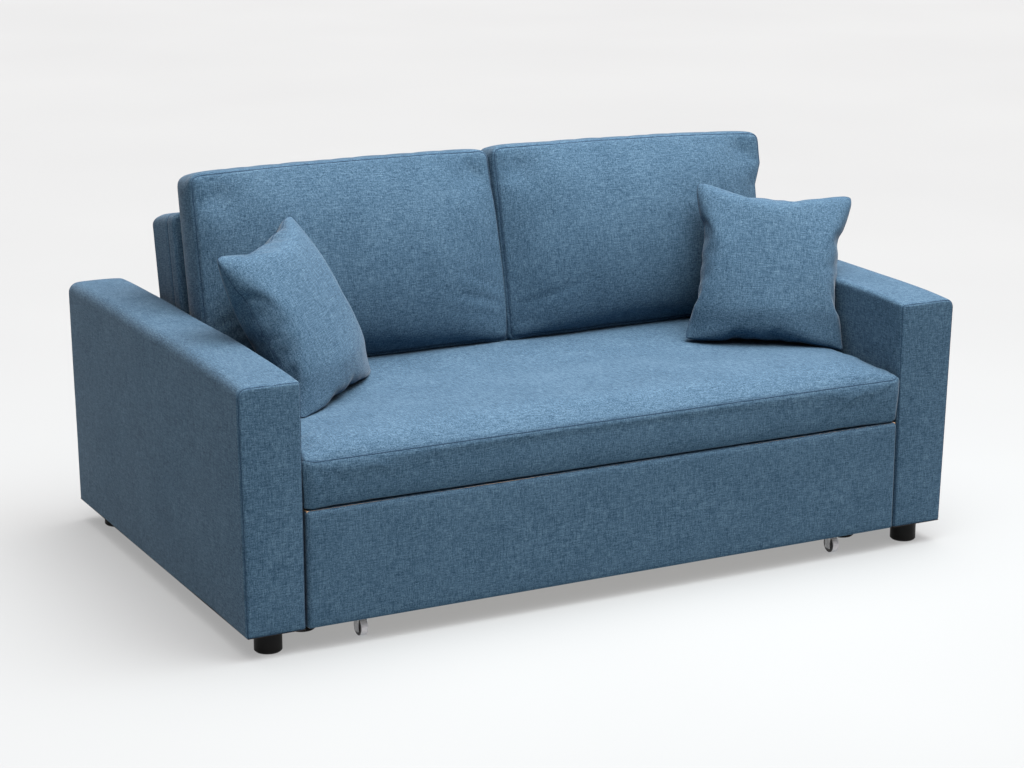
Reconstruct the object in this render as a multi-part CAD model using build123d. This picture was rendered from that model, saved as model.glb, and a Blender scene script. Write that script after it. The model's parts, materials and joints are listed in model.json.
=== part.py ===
from build123d import *
import math
import os

# A two-seat pull-out sofa bed: padded arms, a fixed seat, a reclining backrest,
# a trundle bed that rolls out from under the seat, and loose cushions.
# Millimetres. X runs across the sofa, +Y towards its back, +Z up.
# The origin is on the floor, midway across and midway from front to back.

# Overall
WIDTH = 1750.0
DEPTH = 1110.0
HALF_WIDTH = WIDTH / 2
SEAT_FRONT = -DEPTH / 2
ARM_FRONT = SEAT_FRONT + 10.0
ARM_REAR = DEPTH / 2
FOOT_HEIGHT = 50.0

# Arms
ARM_WIDTH = 132.0
ARM_TOP = 590.0
ARM_OUTER_ROUND = 28.0
ARM_INNER_ROUND = 16.0
ARM_PADDING = 12.0
SKIN = 3.0
INNER = HALF_WIDTH - ARM_WIDTH
POST = 50.0
RAIL = 40.0

# Cloth and timber
CLOTH = 2.0
PLY = 18.0
WEB = 2.0

# Seat box and seat cushion
SEAT_BOTTOM = 311.0
SEAT_EDGE_TOP = 414.0
SEAT_TOP = 438.0
SEAT_REAR = ARM_FRONT + 646.0
SEAT_GAP = 2.0
SEAT_CORNER = 36.0
SEAT_LIP = 15.0
SEAT_LIP_RISE = 9.0
SEAT_CROWN_REACH = 140.0
BOX_FRONT = ARM_FRONT + 30.0
BOX_REAR = ARM_REAR - 13.0
BOX_STEP = ARM_FRONT + 642.0
WEB_REAR = BOX_STEP - 8.0
BOX_LOW_TOP = 262.0
WEB_LEVEL = 303.0
RAIL_BOTTOM = 268.0
BOX_INNER = INNER - PLY
BEAM_DROP = 12.0
HINGE_RAIL_HEIGHT = 60.0
STRAP_HALF = 25.0
STRAP_XS = (-600, -450, -300, -150, 0, 150, 300, 450, 600)
STRAP_STEPS = (0.2, 0.4, 0.6, 0.8)

# Feet
FOOT_R = 30.0
FOOT_CHAMFER = 3.0
FOOT_X = 809.0
FOOT_YS = (ARM_FRONT + 53.0, ARM_REAR - 82.0)
INNER_FOOT_X = BOX_INNER - FOOT_R
INNER_FOOT_YS = (ARM_FRONT + 143.0, ARM_REAR - 75.0)
BLOCK_TOP = 90.0
FOOT_BOLT_R = 4.0
FOOT_BOLT_BOTTOM = 20.0
FOOT_BOLT_TOP = 85.0

# Backrest, built upright about its pivot and then leaned back
LEAN = 11.0
PIVOT_Y = ARM_FRONT + 726.0
PIVOT_Z = 365.0
BACK_HALF = INNER - 3.0
POCKET_X = INNER - 15.0
POCKET_HALF = 24.0
POCKET_TOP = 176.0
BACK_FRONT = -65.0
BACK_REAR = 85.0
BACK_BOTTOM = -32.0
BACK_TOP = 432.0
BACK_ROUND = 45.0
PLATE = 4.0
PIN_R = 5.0
RUNNING_GAP = 0.05
PLATE_LENGTH = 150.0

# Back cushions, in the backrest's upright frame
CUSHION_FRONT = -222.0
CUSHION_REAR = BACK_FRONT - 3.0
CUSHION_CROWN = 26.0
CUSHION_BOTTOM = 60.0
CUSHION_TOP = 514.0
CUSHION_SHOULDER = 90.0
CUSHION_X = {"left": (-731.0, 13.0), "right": (17.0, 738.0)}

# Throw pillows: yaw of the bottom edge, tilt back, roll in their own plane, and centre
PILLOW_SIDE = 350.0
PILLOW_FACE = 190.0
PILLOW_THICK = 100.0
PILLOWS = {
    "left": {"yaw": 42.0, "tilt": 28.0, "roll": 4.0, "centre": (-584.0, ARM_FRONT + 390.0, 624.0)},
    "right": {"yaw": -27.0, "tilt": 28.0, "roll": -4.0, "centre": (601.0, ARM_FRONT + 341.0, 626.0)},
}

# Trundle bed, stowed under the seat
PANEL_HALF = INNER - 4.0
PANEL_FRONT = ARM_FRONT - 4.0
PANEL_REAR = PANEL_FRONT + 24.0
PANEL_BOTTOM = FOOT_HEIGHT
PANEL_TOP = 308.0
PANEL_PADDING = 4.0
FRAME_HALF = 648.0
FRAME_REAR = ARM_FRONT + 680.0
FRAME_BOTTOM = 60.0
FRAME_TOP = 110.0
LIFT_HALF = 622.0
TUBE = 25.0
TUBE_WALL = 2.0
LIFT_FRONT = ARM_FRONT + 40.0
LIFT_REAR = FRAME_REAR - 10.0
LIFT_BOTTOM = 125.0
SLAT = 12.0
MATTRESS_HALF = 650.0
MATTRESS_FRONT = ARM_FRONT + 25.0
MATTRESS_REAR = FRAME_REAR
MATTRESS_THICK = 100.0
LIFT_ARM_LENGTH = 250.0
LIFT_ARM_LOW = 95.0
LIFT_ARM_STARTS = (ARM_FRONT + 90.0, ARM_FRONT + 400.0)
MIDDLE_RAIL_X = 200.0
MATTRESS_CORNER = 25.0
SLAT_COUNT = 10
SLAT_WIDTH = 45.0

# Casters
WHEEL_R = 20.0
WHEEL_WIDTH = 17.0
WHEEL_X = 600.0
WHEEL_Y = {"front": ARM_FRONT + 46.0, "rear": FRAME_REAR - 20.0}
WHEEL_ROUND = 2.0
WHEEL_RIM = 5.0
WHEEL_DISH = 1.0
AXLE_R = 3.0
CHEEK = 2.0
CHEEK_GAP = 1.0
CHEEK_HALF = 10.0
CHEEK_LOW = 10.0
FORK_FLANGE = 8.0
FORK_TOP_HALF = 16.0

# Guide tracks
TRACK_BOTTOM = 110.0
TRACK_TOP = 140.0
TRACK_WALL = 2.0
TRACK_DEPTH = 23.0
TRACK_OVERRUN = 10.0
SHOE_LENGTH = 50.0
SHOE_OVERRUN = 5.0
SHOE_GAP = 0.4
SHOE_SIDE_GAP = 0.5
SHOE_INSET = 2.0
GUIDE_PLATE_Y = (FRAME_REAR - 38.0, FRAME_REAR - 2.0)
GUIDE_PLATE_Z = (70.0, 138.0)
GUIDE_BAR_Y = (FRAME_REAR - 30.0, FRAME_REAR - 10.0)
GUIDE_BAR_Z = (118.0, 132.0)


def block(x, y, z):
    """A box given by its low and high limits on each axis."""
    size = [high - low for low, high in (x, y, z)]
    middle = [(high + low) / 2 for low, high in (x, y, z)]
    return Pos(*middle) * Box(*size)


def rod(axis, start, end, radius):
    """A round bar along X or Z, from one point to another on that axis."""
    length = end[axis] - start[axis]
    turn = Rot(0, 90, 0) if axis == 0 else Rot(0, 0, 0)
    bar = turn * Cylinder(radius, length, align=(Align.CENTER, Align.CENTER, Align.MIN))
    return Pos(*start) * bar


def mirrored(shape):
    """The same piece on the sofa's left-hand side."""
    return mirror(shape, about=Plane.YZ)


def on_side(shape, side):
    """A piece drawn on the right, placed on the right or the left."""
    return shape if side == "right" else mirrored(shape)


def both(*shapes):
    """Pieces drawn on the right, and their mirror images."""
    return list(shapes) + [mirrored(s) for s in shapes]


def group(shapes):
    """Separate solids kept in one node."""
    solids = [solid for shape in shapes for solid in shape.solids()]
    return Compound(children=solids)


def outline(points, x):
    """A flat outline of (y, z) points, as thick as the given limits on X."""
    face = Plane.YZ.offset(x[0]) * make_face(Polyline(*points, close=True))
    return extrude(face, amount=x[1] - x[0])


def leaned(shape):
    """Lean a piece of the upright backrest back about its pivot."""
    return Pos(0, PIVOT_Y, PIVOT_Z) * Rot(-LEAN, 0, 0) * shape


# --- Arms -------------------------------------------------------------------

CORE_LOW = FOOT_HEIGHT + CLOTH
CORE_TOP = ARM_TOP - CLOTH - ARM_PADDING
CORE_X = (INNER + CLOTH + ARM_PADDING, HALF_WIDTH - CLOTH - ARM_PADDING)
CORE_Y = (ARM_FRONT + CLOTH + ARM_PADDING, ARM_REAR - CLOTH - ARM_PADDING)
ARM_BOLT_R = 4.0
ARM_BOLT_HEAD = 8.0
ARM_BOLT_HEAD_HEIGHT = 5.0
ARM_BOLT_X = (BOX_INNER - 1.0, CORE_X[0] + 30.0)
ARM_BOLT_Y = (ARM_FRONT + 40.0, ARM_REAR - 40.0)
ARM_BOLT_Z = (100.0, 240.0)


def arm_form(inset):
    """The arm's outer shape, shrunk by an inset on every side but its base."""
    low_x = INNER + inset
    high_x = HALF_WIDTH - inset
    width = high_x - low_x
    height = ARM_TOP - inset - FOOT_HEIGHT
    section = Rectangle(width, height, align=(Align.MIN, Align.MIN))
    outer = section.vertices().group_by(Axis.Y)[-1].sort_by(Axis.X)[-1]
    section = fillet(outer, ARM_OUTER_ROUND - inset)
    inner = section.vertices().group_by(Axis.X)[0].sort_by(Axis.Y)[-1]
    section = fillet(inner, ARM_INNER_ROUND - inset)
    placed = Plane.XZ * section
    length = ARM_REAR - ARM_FRONT - 2 * inset
    bar = extrude(placed, amount=length, dir=(0, 1, 0))
    return Pos(low_x, ARM_FRONT + inset, FOOT_HEIGHT) * bar


def arm_bolt_holes():
    """The holes of the bolts that join the arm to the seat box."""
    start, end = ARM_BOLT_X
    holes = [
        rod(0, (start, y, z), (end, y, z), ARM_BOLT_R)
        for y in ARM_BOLT_Y
        for z in ARM_BOLT_Z
    ]
    return holes


def arm_cover():
    """The sewn cloth cover, open underneath."""
    cover = arm_form(0) - arm_form(CLOTH)
    for hole in arm_bolt_holes():
        cover -= hole
    return cover


def arm_padding():
    """Foam between the cover and the timber core."""
    core = block(CORE_X, CORE_Y, (FOOT_HEIGHT, CORE_TOP))
    below = block((INNER, HALF_WIDTH), (ARM_FRONT, ARM_REAR), (FOOT_HEIGHT, CORE_LOW))
    foam = arm_form(CLOTH) - core - below
    for hole in arm_bolt_holes():
        foam -= hole
    return foam


def arm_skins():
    """Hardboard on both faces of the timber frame."""
    low, high = CORE_X
    skins = [
        block((low, low + SKIN), CORE_Y, (CORE_LOW, CORE_TOP)),
        block((high - SKIN, high), CORE_Y, (CORE_LOW, CORE_TOP)),
    ]
    for hole in arm_bolt_holes():
        skins[0] -= hole
    return group(skins)


def foot_bolt(x, y):
    """A hanger bolt from a foot up into the timber above it."""
    return rod(2, (x, y, FOOT_BOLT_BOTTOM), (x, y, FOOT_BOLT_TOP), FOOT_BOLT_R)


def arm_frame():
    """Timber rails and posts between the two skins."""
    x = (CORE_X[0] + SKIN, CORE_X[1] - SKIN)
    low, high = CORE_Y
    middle = (low + high - POST) / 2
    pieces = [
        block(x, CORE_Y, (CORE_LOW, CORE_LOW + RAIL)),
        block(x, CORE_Y, (CORE_TOP - RAIL, CORE_TOP)),
    ]
    for start in (low, middle, high - POST):
        pieces.append(block(x, (start, start + POST), (CORE_LOW + RAIL, CORE_TOP - RAIL)))
    holes = arm_bolt_holes() + [foot_bolt(FOOT_X, y) for y in FOOT_YS]
    for i, piece in enumerate(pieces):
        for hole in holes:
            piece -= hole
        pieces[i] = piece
    return group(pieces)


def arm_base_cloth():
    """Black cloth closing the underside of each arm."""
    x = (INNER + CLOTH, HALF_WIDTH - CLOTH)
    y = (ARM_FRONT + CLOTH, ARM_REAR - CLOTH)
    cloth = block(x, y, (FOOT_HEIGHT, FOOT_HEIGHT + CLOTH))
    for foot_y in FOOT_YS:
        cloth -= foot_bolt(FOOT_X, foot_y)
    return group(both(cloth))


# --- Feet -------------------------------------------------------------------


def foot(x, y):
    """A round plastic foot with a rounded lower edge and a bolt hole."""
    body = Cylinder(FOOT_R, FOOT_HEIGHT, align=(Align.CENTER, Align.CENTER, Align.MIN))
    body = chamfer(body.edges().group_by(Axis.Z)[0], FOOT_CHAMFER)
    return Pos(x, y, 0) * body - foot_bolt(x, y)


def outer_feet():
    """Four feet under the ends of the arms."""
    return group(both(*[foot(FOOT_X, y) for y in FOOT_YS]))


def inner_feet():
    """Four feet under the corners of the seat box."""
    return group(both(*[foot(INNER_FOOT_X, y) for y in INNER_FOOT_YS]))


def foot_bolts():
    """The hanger bolts of all the feet."""
    outer = [foot_bolt(FOOT_X, y) for y in FOOT_YS]
    inner = [foot_bolt(INNER_FOOT_X, y) for y in INNER_FOOT_YS]
    return group(both(*outer, *inner))


def corner_blocks():
    """Timber blocks that carry the inner feet."""
    blocks = []
    for y in INNER_FOOT_YS:
        x = (BOX_INNER - 2 * FOOT_R, BOX_INNER)
        piece = block(x, (y - FOOT_R, y + FOOT_R), (FOOT_HEIGHT, BLOCK_TOP))
        blocks.append(piece - foot_bolt(INNER_FOOT_X, y))
    return group(both(*blocks))


# --- Seat box ---------------------------------------------------------------


def box_side():
    """A plywood side of the seat box, stepped down behind the seat."""
    points = [
        (BOX_FRONT, FOOT_HEIGHT),
        (BOX_FRONT, WEB_LEVEL + WEB),
        (BOX_STEP, WEB_LEVEL + WEB),
        (BOX_STEP, BOX_LOW_TOP),
        (BOX_REAR, BOX_LOW_TOP),
        (BOX_REAR, FOOT_HEIGHT),
    ]
    side = outline(points, (BOX_INNER, INNER))
    for hole in arm_bolt_holes():
        side -= hole
    for screw in bracket_screw_set():
        side -= screw
    return side


def arm_bolts():
    """Bolts with round heads that hold the arms to the seat box."""
    bolts = []
    outside = BOX_INNER - ARM_BOLT_HEAD_HEIGHT
    places = [(y, z) for y in ARM_BOLT_Y for z in ARM_BOLT_Z]
    for shank, (y, z) in zip(arm_bolt_holes(), places):
        bolts.append(shank + rod(0, (outside, y, z), (BOX_INNER, y, z), ARM_BOLT_HEAD))
    return group(both(*bolts))


def cross_rail(y, z):
    """A timber rail between the two sides of the seat box."""
    return block((-BOX_INNER, BOX_INNER), y, z)


def seat_rails():
    """The front and rear rails that the webbing is stretched between."""
    z = (RAIL_BOTTOM, WEB_LEVEL)
    front = cross_rail((BOX_FRONT, BOX_FRONT + RAIL), z)
    rear = cross_rail((WEB_REAR - RAIL, WEB_REAR), z)
    return group([front, rear])


def seat_centre_beam():
    """A beam from the front rail to the rear rail, under the webbing."""
    y = (BOX_FRONT + RAIL, WEB_REAR - RAIL)
    return block((-RAIL / 2, RAIL / 2), y, (RAIL_BOTTOM, WEB_LEVEL - BEAM_DROP))


def hinge_rail():
    """The rail under the backrest's pivots."""
    y = (PIVOT_Y - RAIL / 2, PIVOT_Y + RAIL / 2)
    return cross_rail(y, (BOX_LOW_TOP - HINGE_RAIL_HEIGHT, BOX_LOW_TOP))


def rear_panel():
    """The plywood board that closes the back of the seat box."""
    return cross_rail((BOX_REAR - PLY, BOX_REAR), (FOOT_HEIGHT, BOX_LOW_TOP))


def rear_panel_cover():
    """Cloth over the rear panel."""
    return block((-INNER, INNER), (BOX_REAR, BOX_REAR + CLOTH), (FOOT_HEIGHT, BOX_LOW_TOP))


def webbing():
    """Elastic straps from the front rail to the rear rail, and others across them."""
    y = (BOX_FRONT, WEB_REAR)
    z = (WEB_LEVEL, WEB_LEVEL + WEB)
    straps = [block((x - STRAP_HALF, x + STRAP_HALF), y, z) for x in STRAP_XS]
    x = (-INNER, INNER)
    z = (WEB_LEVEL + WEB, WEB_LEVEL + 2 * WEB)
    for step in STRAP_STEPS:
        middle = BOX_FRONT + step * (WEB_REAR - BOX_FRONT)
        straps.append(block(x, (middle - STRAP_HALF, middle + STRAP_HALF), z))
    return group(straps)


def seat_felt():
    """The felt platform between the webbing and the seat cushion."""
    z = (WEB_LEVEL + 2 * WEB, SEAT_BOTTOM)
    return block((-INNER, INNER), (BOX_FRONT, BOX_STEP), z)


def guide_tracks():
    """Steel channels that guide the trundle, one on each side of the box."""
    x = (BOX_INNER - TRACK_DEPTH, BOX_INNER)
    y = (BOX_FRONT, FRAME_REAR + TRACK_OVERRUN)
    channel = block(x, y, (TRACK_BOTTOM, TRACK_TOP))
    hollow_x = (x[0], BOX_INNER - TRACK_WALL)
    hollow_z = (TRACK_BOTTOM + TRACK_WALL, TRACK_TOP - TRACK_WALL)
    channel -= block(hollow_x, y, hollow_z)
    return group(both(channel))


# --- Seat cushion -----------------------------------------------------------


def seat_form(inset):
    """The seat cushion: a slab with a softly raised top and rounded front corners."""
    front = SEAT_FRONT + inset
    points = [
        (front, SEAT_BOTTOM + inset),
        (front, SEAT_EDGE_TOP - inset),
        (front + SEAT_LIP, SEAT_EDGE_TOP + SEAT_LIP_RISE - inset),
        (front + SEAT_CROWN_REACH, SEAT_TOP - inset),
        (SEAT_REAR - inset, SEAT_TOP - inset),
        (SEAT_REAR - inset, SEAT_BOTTOM + inset),
    ]
    half = INNER - SEAT_GAP - inset
    slab = outline(points, (-half, half))
    corners = slab.edges().filter_by(Axis.Z).group_by(Axis.Y)[0]
    return fillet(corners, SEAT_CORNER - inset)


def seat_cover():
    return seat_form(0) - seat_form(CLOTH)


def seat_filling():
    return seat_form(CLOTH)


# --- Backrest ---------------------------------------------------------------

BACK_CORE_X = BACK_HALF - 29.0
BACK_CORE_FRONT = 17.0
BACK_CORE_REAR = 60.0
BACK_CORE_LOW = BACK_BOTTOM + 12.0
BACK_CORE_TOP = BACK_TOP - 22.0
BACK_UPRIGHTS = 4
PLATE_BOLT_W = (60.0, 120.0)
PLATE_BOLT_R = 4.0
PLATE_BOLT_HEAD = 8.0
PLATE_BOLT_HEAD_HEIGHT = 2.5


def back_form(inset):
    """The backrest's outer shape, with a large round on its top rear edge."""
    points = [
        (BACK_FRONT + inset, BACK_BOTTOM + inset),
        (BACK_FRONT + inset, BACK_TOP - inset),
        (BACK_REAR - inset, BACK_TOP - inset),
        (BACK_REAR - inset, BACK_BOTTOM + inset),
    ]
    half = BACK_HALF - inset
    slab = outline(points, (-half, half))
    rear_top = slab.edges().filter_by(Axis.X).group_by(Axis.Z)[-1].sort_by(Axis.Y)[-1]
    return fillet(rear_top, BACK_ROUND - inset)


def plate_bolts_upright():
    """The bolts that hold each moving hinge plate to the backrest frame."""
    bolts = []
    for w in PLATE_BOLT_W:
        shank = rod(0, (BACK_CORE_X - RAIL, 0, w), (POCKET_X + PLATE, 0, w), PLATE_BOLT_R)
        bolts.append(shank)
    return both(*bolts)


def hinge_pockets():
    """Room in both ends of the backrest for the hinge plates as it reclines."""
    x = (POCKET_X, BACK_HALF)
    plate = block(x, (-POCKET_HALF, POCKET_HALF), (BACK_BOTTOM, POCKET_TOP))
    bracket = block(x, (-POCKET_HALF, BACK_REAR), (BACK_BOTTOM, POCKET_HALF))
    return both(plate + bracket)


def backrest_cover():
    cover = back_form(0) - back_form(CLOTH)
    for hole in plate_bolts_upright() + hinge_pockets():
        cover -= hole
    return leaned(cover)


def backrest_filling():
    """Foam around the backrest's timber core."""
    core = block(
        (-BACK_CORE_X, BACK_CORE_X),
        (BACK_CORE_FRONT, BACK_CORE_REAR),
        (BACK_CORE_LOW, BACK_CORE_TOP),
    )
    foam = back_form(CLOTH) - core
    for hole in plate_bolts_upright() + hinge_pockets():
        foam -= hole
    return leaned(foam)


def backrest_board():
    """Hardboard on the front of the backrest frame."""
    board = block(
        (-BACK_CORE_X, BACK_CORE_X),
        (BACK_CORE_FRONT, BACK_CORE_FRONT + SKIN),
        (BACK_CORE_LOW, BACK_CORE_TOP),
    )
    return leaned(board)


def backrest_frame():
    """Timber rails and uprights inside the backrest."""
    y = (BACK_CORE_FRONT + SKIN, BACK_CORE_REAR)
    x = (-BACK_CORE_X, BACK_CORE_X)
    pieces = [
        block(x, y, (BACK_CORE_LOW, BACK_CORE_LOW + RAIL)),
        block(x, y, (BACK_CORE_TOP - RAIL, BACK_CORE_TOP)),
    ]
    gap = (2 * BACK_CORE_X - POST) / (BACK_UPRIGHTS - 1)
    for i in range(BACK_UPRIGHTS):
        start = -BACK_CORE_X + i * gap
        pieces.append(
            block((start, start + POST), y, (BACK_CORE_LOW + RAIL, BACK_CORE_TOP - RAIL))
        )
    return leaned(group(pieces))


# --- Backrest hinges --------------------------------------------------------

BRACKET_X = (INNER - 8.0, INNER - 4.0)
BRACKET_FOOT_X = (BOX_INNER, INNER - 4.0)
BRACKET_R = 20.0
BRACKET_MARGIN = 10.0
SCREW_Y = (PIVOT_Y - 32.0, PIVOT_Y + 32.0)
SCREW_X = BOX_INNER + 5.0
SCREW_R = 2.0
SCREW_LENGTH = 30.0
SCREW_HEAD_R = 4.0
SCREW_HEAD_HEIGHT = 2.5
HINGE_PIN_GAP = 0.3
HINGE_PIN_HEAD = 1.5
HINGE_PIN_HEAD_R = PIN_R + 3.0


def bracket_screw_set():
    """The two screws that hold the right-hand bracket to the box side."""
    screws = []
    x = SCREW_X
    top = BOX_LOW_TOP + PLATE
    for y in SCREW_Y:
        shank = rod(2, (x, y, BOX_LOW_TOP - SCREW_LENGTH), (x, y, top), SCREW_R)
        head = rod(2, (x, y, top), (x, y, top + SCREW_HEAD_HEIGHT), SCREW_HEAD_R)
        screws.append(shank + head)
    return screws


def bracket_screws():
    return group(both(*bracket_screw_set()))


def hinge_brackets():
    """Fixed hinge plates: an upright round the pivot and a foot on the box side."""
    y = (PIVOT_Y - BRACKET_R, PIVOT_Y + BRACKET_R)
    upright = block(BRACKET_X, y, (BOX_LOW_TOP, PIVOT_Z))
    start = (BRACKET_X[0], PIVOT_Y, PIVOT_Z)
    end = (BRACKET_X[1], PIVOT_Y, PIVOT_Z)
    foot_y = (SCREW_Y[0] - BRACKET_MARGIN, SCREW_Y[1] + BRACKET_MARGIN)
    base = block(BRACKET_FOOT_X, foot_y, (BOX_LOW_TOP, BOX_LOW_TOP + PLATE))
    bracket = upright + rod(0, start, end, BRACKET_R) + base
    bracket -= rod(0, start, end, PIN_R)
    for screw in bracket_screw_set():
        bracket -= screw
    return group(both(bracket))


def hinge_pins():
    """Pivot pins, fixed in the brackets."""
    low = POCKET_X + HINGE_PIN_GAP
    end = BRACKET_X[1]
    outside = end + HINGE_PIN_HEAD
    shank = rod(0, (low, PIVOT_Y, PIVOT_Z), (end, PIVOT_Y, PIVOT_Z), PIN_R)
    head = rod(0, (end, PIVOT_Y, PIVOT_Z), (outside, PIVOT_Y, PIVOT_Z), HINGE_PIN_HEAD_R)
    return group(both(shank + head))


def hinge_plates():
    """Moving hinge plates on the ends of the backrest, turning on the pins."""
    x = (POCKET_X, POCKET_X + PLATE)
    bar = block(x, (-BRACKET_R, BRACKET_R), (0, PLATE_LENGTH))
    for w in (0, PLATE_LENGTH):
        bar += rod(0, (x[0], 0, w), (x[1], 0, w), BRACKET_R)
    bar -= rod(0, (x[0], 0, 0), (x[1], 0, 0), PIN_R + RUNNING_GAP)
    for w in PLATE_BOLT_W:
        bar -= rod(0, (x[0], 0, w), (x[1], 0, w), PLATE_BOLT_R)
    return leaned(group(both(bar)))


def hinge_bolts():
    """Bolts from the moving plates into the backrest frame."""
    shanks = plate_bolts_upright()
    heads = []
    start = POCKET_X + PLATE
    end = start + PLATE_BOLT_HEAD_HEIGHT
    for w in PLATE_BOLT_W:
        heads.append(rod(0, (start, 0, w), (end, 0, w), PLATE_BOLT_HEAD))
    bolts = [a + b for a, b in zip(shanks, both(*heads))]
    return leaned(group(bolts))


# --- Loose cushions ---------------------------------------------------------


def cushion_form(side, inset):
    """A back cushion: a box with softly raised front and rear faces."""
    front = CUSHION_FRONT + inset
    rear = CUSHION_REAR - inset
    low = CUSHION_BOTTOM + inset
    high = CUSHION_TOP - inset
    points = [
        (front + CUSHION_CROWN, low),
        (front, low + CUSHION_SHOULDER),
        (front, high - CUSHION_SHOULDER),
        (front + CUSHION_CROWN, high),
        (rear - CUSHION_CROWN, high),
        (rear, high - CUSHION_SHOULDER),
        (rear, low + CUSHION_SHOULDER),
        (rear - CUSHION_CROWN, low),
    ]
    left, right = CUSHION_X[side]
    return leaned(outline(points, (left + inset, right - inset)))


def cushion_cover(side):
    return cushion_form(side, 0) - cushion_form(side, CLOTH)


def cushion_filling(side):
    return cushion_form(side, CLOTH)


def pillow(side):
    """A throw pillow: two low pyramids, base to base, standing on one edge."""
    place = PILLOWS[side]
    yaw = math.radians(place["yaw"])
    tilt = math.radians(place["tilt"])
    turn = Rot(0, 0, place["roll"])
    along = Vector(math.cos(yaw), math.sin(yaw), 0)
    back = Vector(-math.sin(yaw), math.cos(yaw), 0)
    up = back * math.sin(tilt) + Vector(0, 0, 1) * math.cos(tilt)
    frame = Plane(origin=place["centre"], x_dir=along, z_dir=along.cross(up))
    rim = Rectangle(PILLOW_SIDE, PILLOW_SIDE)
    face = Pos(0, 0, PILLOW_THICK / 2) * Rectangle(PILLOW_FACE, PILLOW_FACE)
    front = loft([rim, face], ruled=True)
    rear = mirror(front, about=Plane.XY)
    return frame * turn * (front + rear)


# --- Trundle ----------------------------------------------------------------


def panel_form(inset):
    """The padded front panel's outer shape."""
    return block(
        (-PANEL_HALF + inset, PANEL_HALF - inset),
        (PANEL_FRONT + inset, PANEL_REAR - inset),
        (PANEL_BOTTOM + inset, PANEL_TOP - inset),
    )


def panel_cover():
    return panel_form(0) - panel_form(CLOTH)


def panel_padding():
    """Thin foam on the front of the panel's board."""
    inside = panel_form(CLOTH)
    split = PANEL_FRONT + CLOTH + PANEL_PADDING
    return inside - block((-WIDTH, WIDTH), (split, 0), (0, ARM_TOP))


def panel_board():
    inside = panel_form(CLOTH)
    split = PANEL_FRONT + CLOTH + PANEL_PADDING
    return inside - block((-WIDTH, WIDTH), (-DEPTH, split), (0, ARM_TOP))


def lift_pin_sets():
    """The pins at both ends of each right-hand lift arm."""
    rise = LIFT_BOTTOM + TUBE / 2 - LIFT_ARM_LOW
    run = math.sqrt(LIFT_ARM_LENGTH**2 - rise**2)
    pins = []
    for y in LIFT_ARM_STARTS:
        low = (y, LIFT_ARM_LOW)
        high = (y + run, LIFT_ARM_LOW + rise)
        pins.append((low, high))
    return pins


LIFT_ARM_X = (LIFT_HALF + 1.0, LIFT_HALF + 7.0)
LIFT_PIN_R = 5.0
LIFT_PIN_OVERHANG = 3.0


def lower_pin(place):
    """A lift arm's lower pin, held in the trundle's side rail."""
    y, z = place
    return rod(0, (LIFT_ARM_X[0] - LIFT_PIN_OVERHANG, y, z), (FRAME_HALF, y, z), LIFT_PIN_R)


def upper_pin(place):
    """A lift arm's upper pin, held in the mattress frame's tube."""
    y, z = place
    return rod(0, (LIFT_HALF - TUBE, y, z), (LIFT_ARM_X[1] + LIFT_PIN_OVERHANG, y, z), LIFT_PIN_R)


def trundle_side_rails():
    """Timber rails along both sides of the trundle."""
    x = (FRAME_HALF - PLY, FRAME_HALF)
    y = (PANEL_REAR + RAIL, FRAME_REAR - RAIL)
    rail = block(x, y, (FRAME_BOTTOM, FRAME_TOP))
    for low, _ in lift_pin_sets():
        rail -= lower_pin(low)
    return group(both(rail))


def trundle_cross_rails():
    """Timber rails at the front and rear of the trundle, over the wheels."""
    x = (-FRAME_HALF, FRAME_HALF)
    z = (FRAME_BOTTOM, FRAME_TOP)
    front = block(x, (PANEL_REAR, PANEL_REAR + RAIL), z)
    rear = block(x, (FRAME_REAR - RAIL, FRAME_REAR), z)
    return group([front, rear])


def trundle_middle_rails():
    """Two more lengthways rails."""
    y = (PANEL_REAR + RAIL, FRAME_REAR - RAIL)
    x = (MIDDLE_RAIL_X, MIDDLE_RAIL_X + PLY)
    return group(both(block(x, y, (FRAME_BOTTOM, FRAME_TOP))))


def square_tube(x, y, z, axis):
    """A square steel tube, open at both ends."""
    limits = [x, y, z]
    bore = [(low + TUBE_WALL, high - TUBE_WALL) for low, high in limits]
    bore[axis] = limits[axis]
    return block(*limits) - block(*bore)


def lift_frame_sides():
    """The long tubes of the frame that carries the mattress."""
    x = (LIFT_HALF - TUBE, LIFT_HALF)
    z = (LIFT_BOTTOM, LIFT_BOTTOM + TUBE)
    tube = square_tube(x, (LIFT_FRONT, LIFT_REAR), z, 1)
    for _, high in lift_pin_sets():
        tube -= upper_pin(high)
    return group(both(tube))


def lift_frame_ends():
    """The cross tubes of the frame that carries the mattress."""
    x = (-LIFT_HALF + TUBE, LIFT_HALF - TUBE)
    z = (LIFT_BOTTOM, LIFT_BOTTOM + TUBE)
    front = square_tube(x, (LIFT_FRONT, LIFT_FRONT + TUBE), z, 0)
    rear = square_tube(x, (LIFT_REAR - TUBE, LIFT_REAR), z, 0)
    return group([front, rear])


def lift_arms():
    """Flat steel arms that carry the mattress frame on the trundle."""
    arms = []
    for low, high in lift_pin_sets():
        angle = math.degrees(math.asin((high[1] - low[1]) / LIFT_ARM_LENGTH))
        bar = block(LIFT_ARM_X, (0, LIFT_ARM_LENGTH), (-TUBE / 2, TUBE / 2))
        for end in (0, LIFT_ARM_LENGTH):
            start = (LIFT_ARM_X[0], end, 0)
            bar += rod(0, start, (LIFT_ARM_X[1], end, 0), TUBE / 2)
        arm = Pos(0, low[0], low[1]) * Rot(angle, 0, 0) * bar
        arms.append(arm - lower_pin(low) - upper_pin(high))
    return group(both(*arms))


def lift_pins():
    """Pivot pins of the lift arms."""
    pins = []
    for low, high in lift_pin_sets():
        pins.append(lower_pin(low))
        pins.append(upper_pin(high))
    return group(both(*pins))


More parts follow.
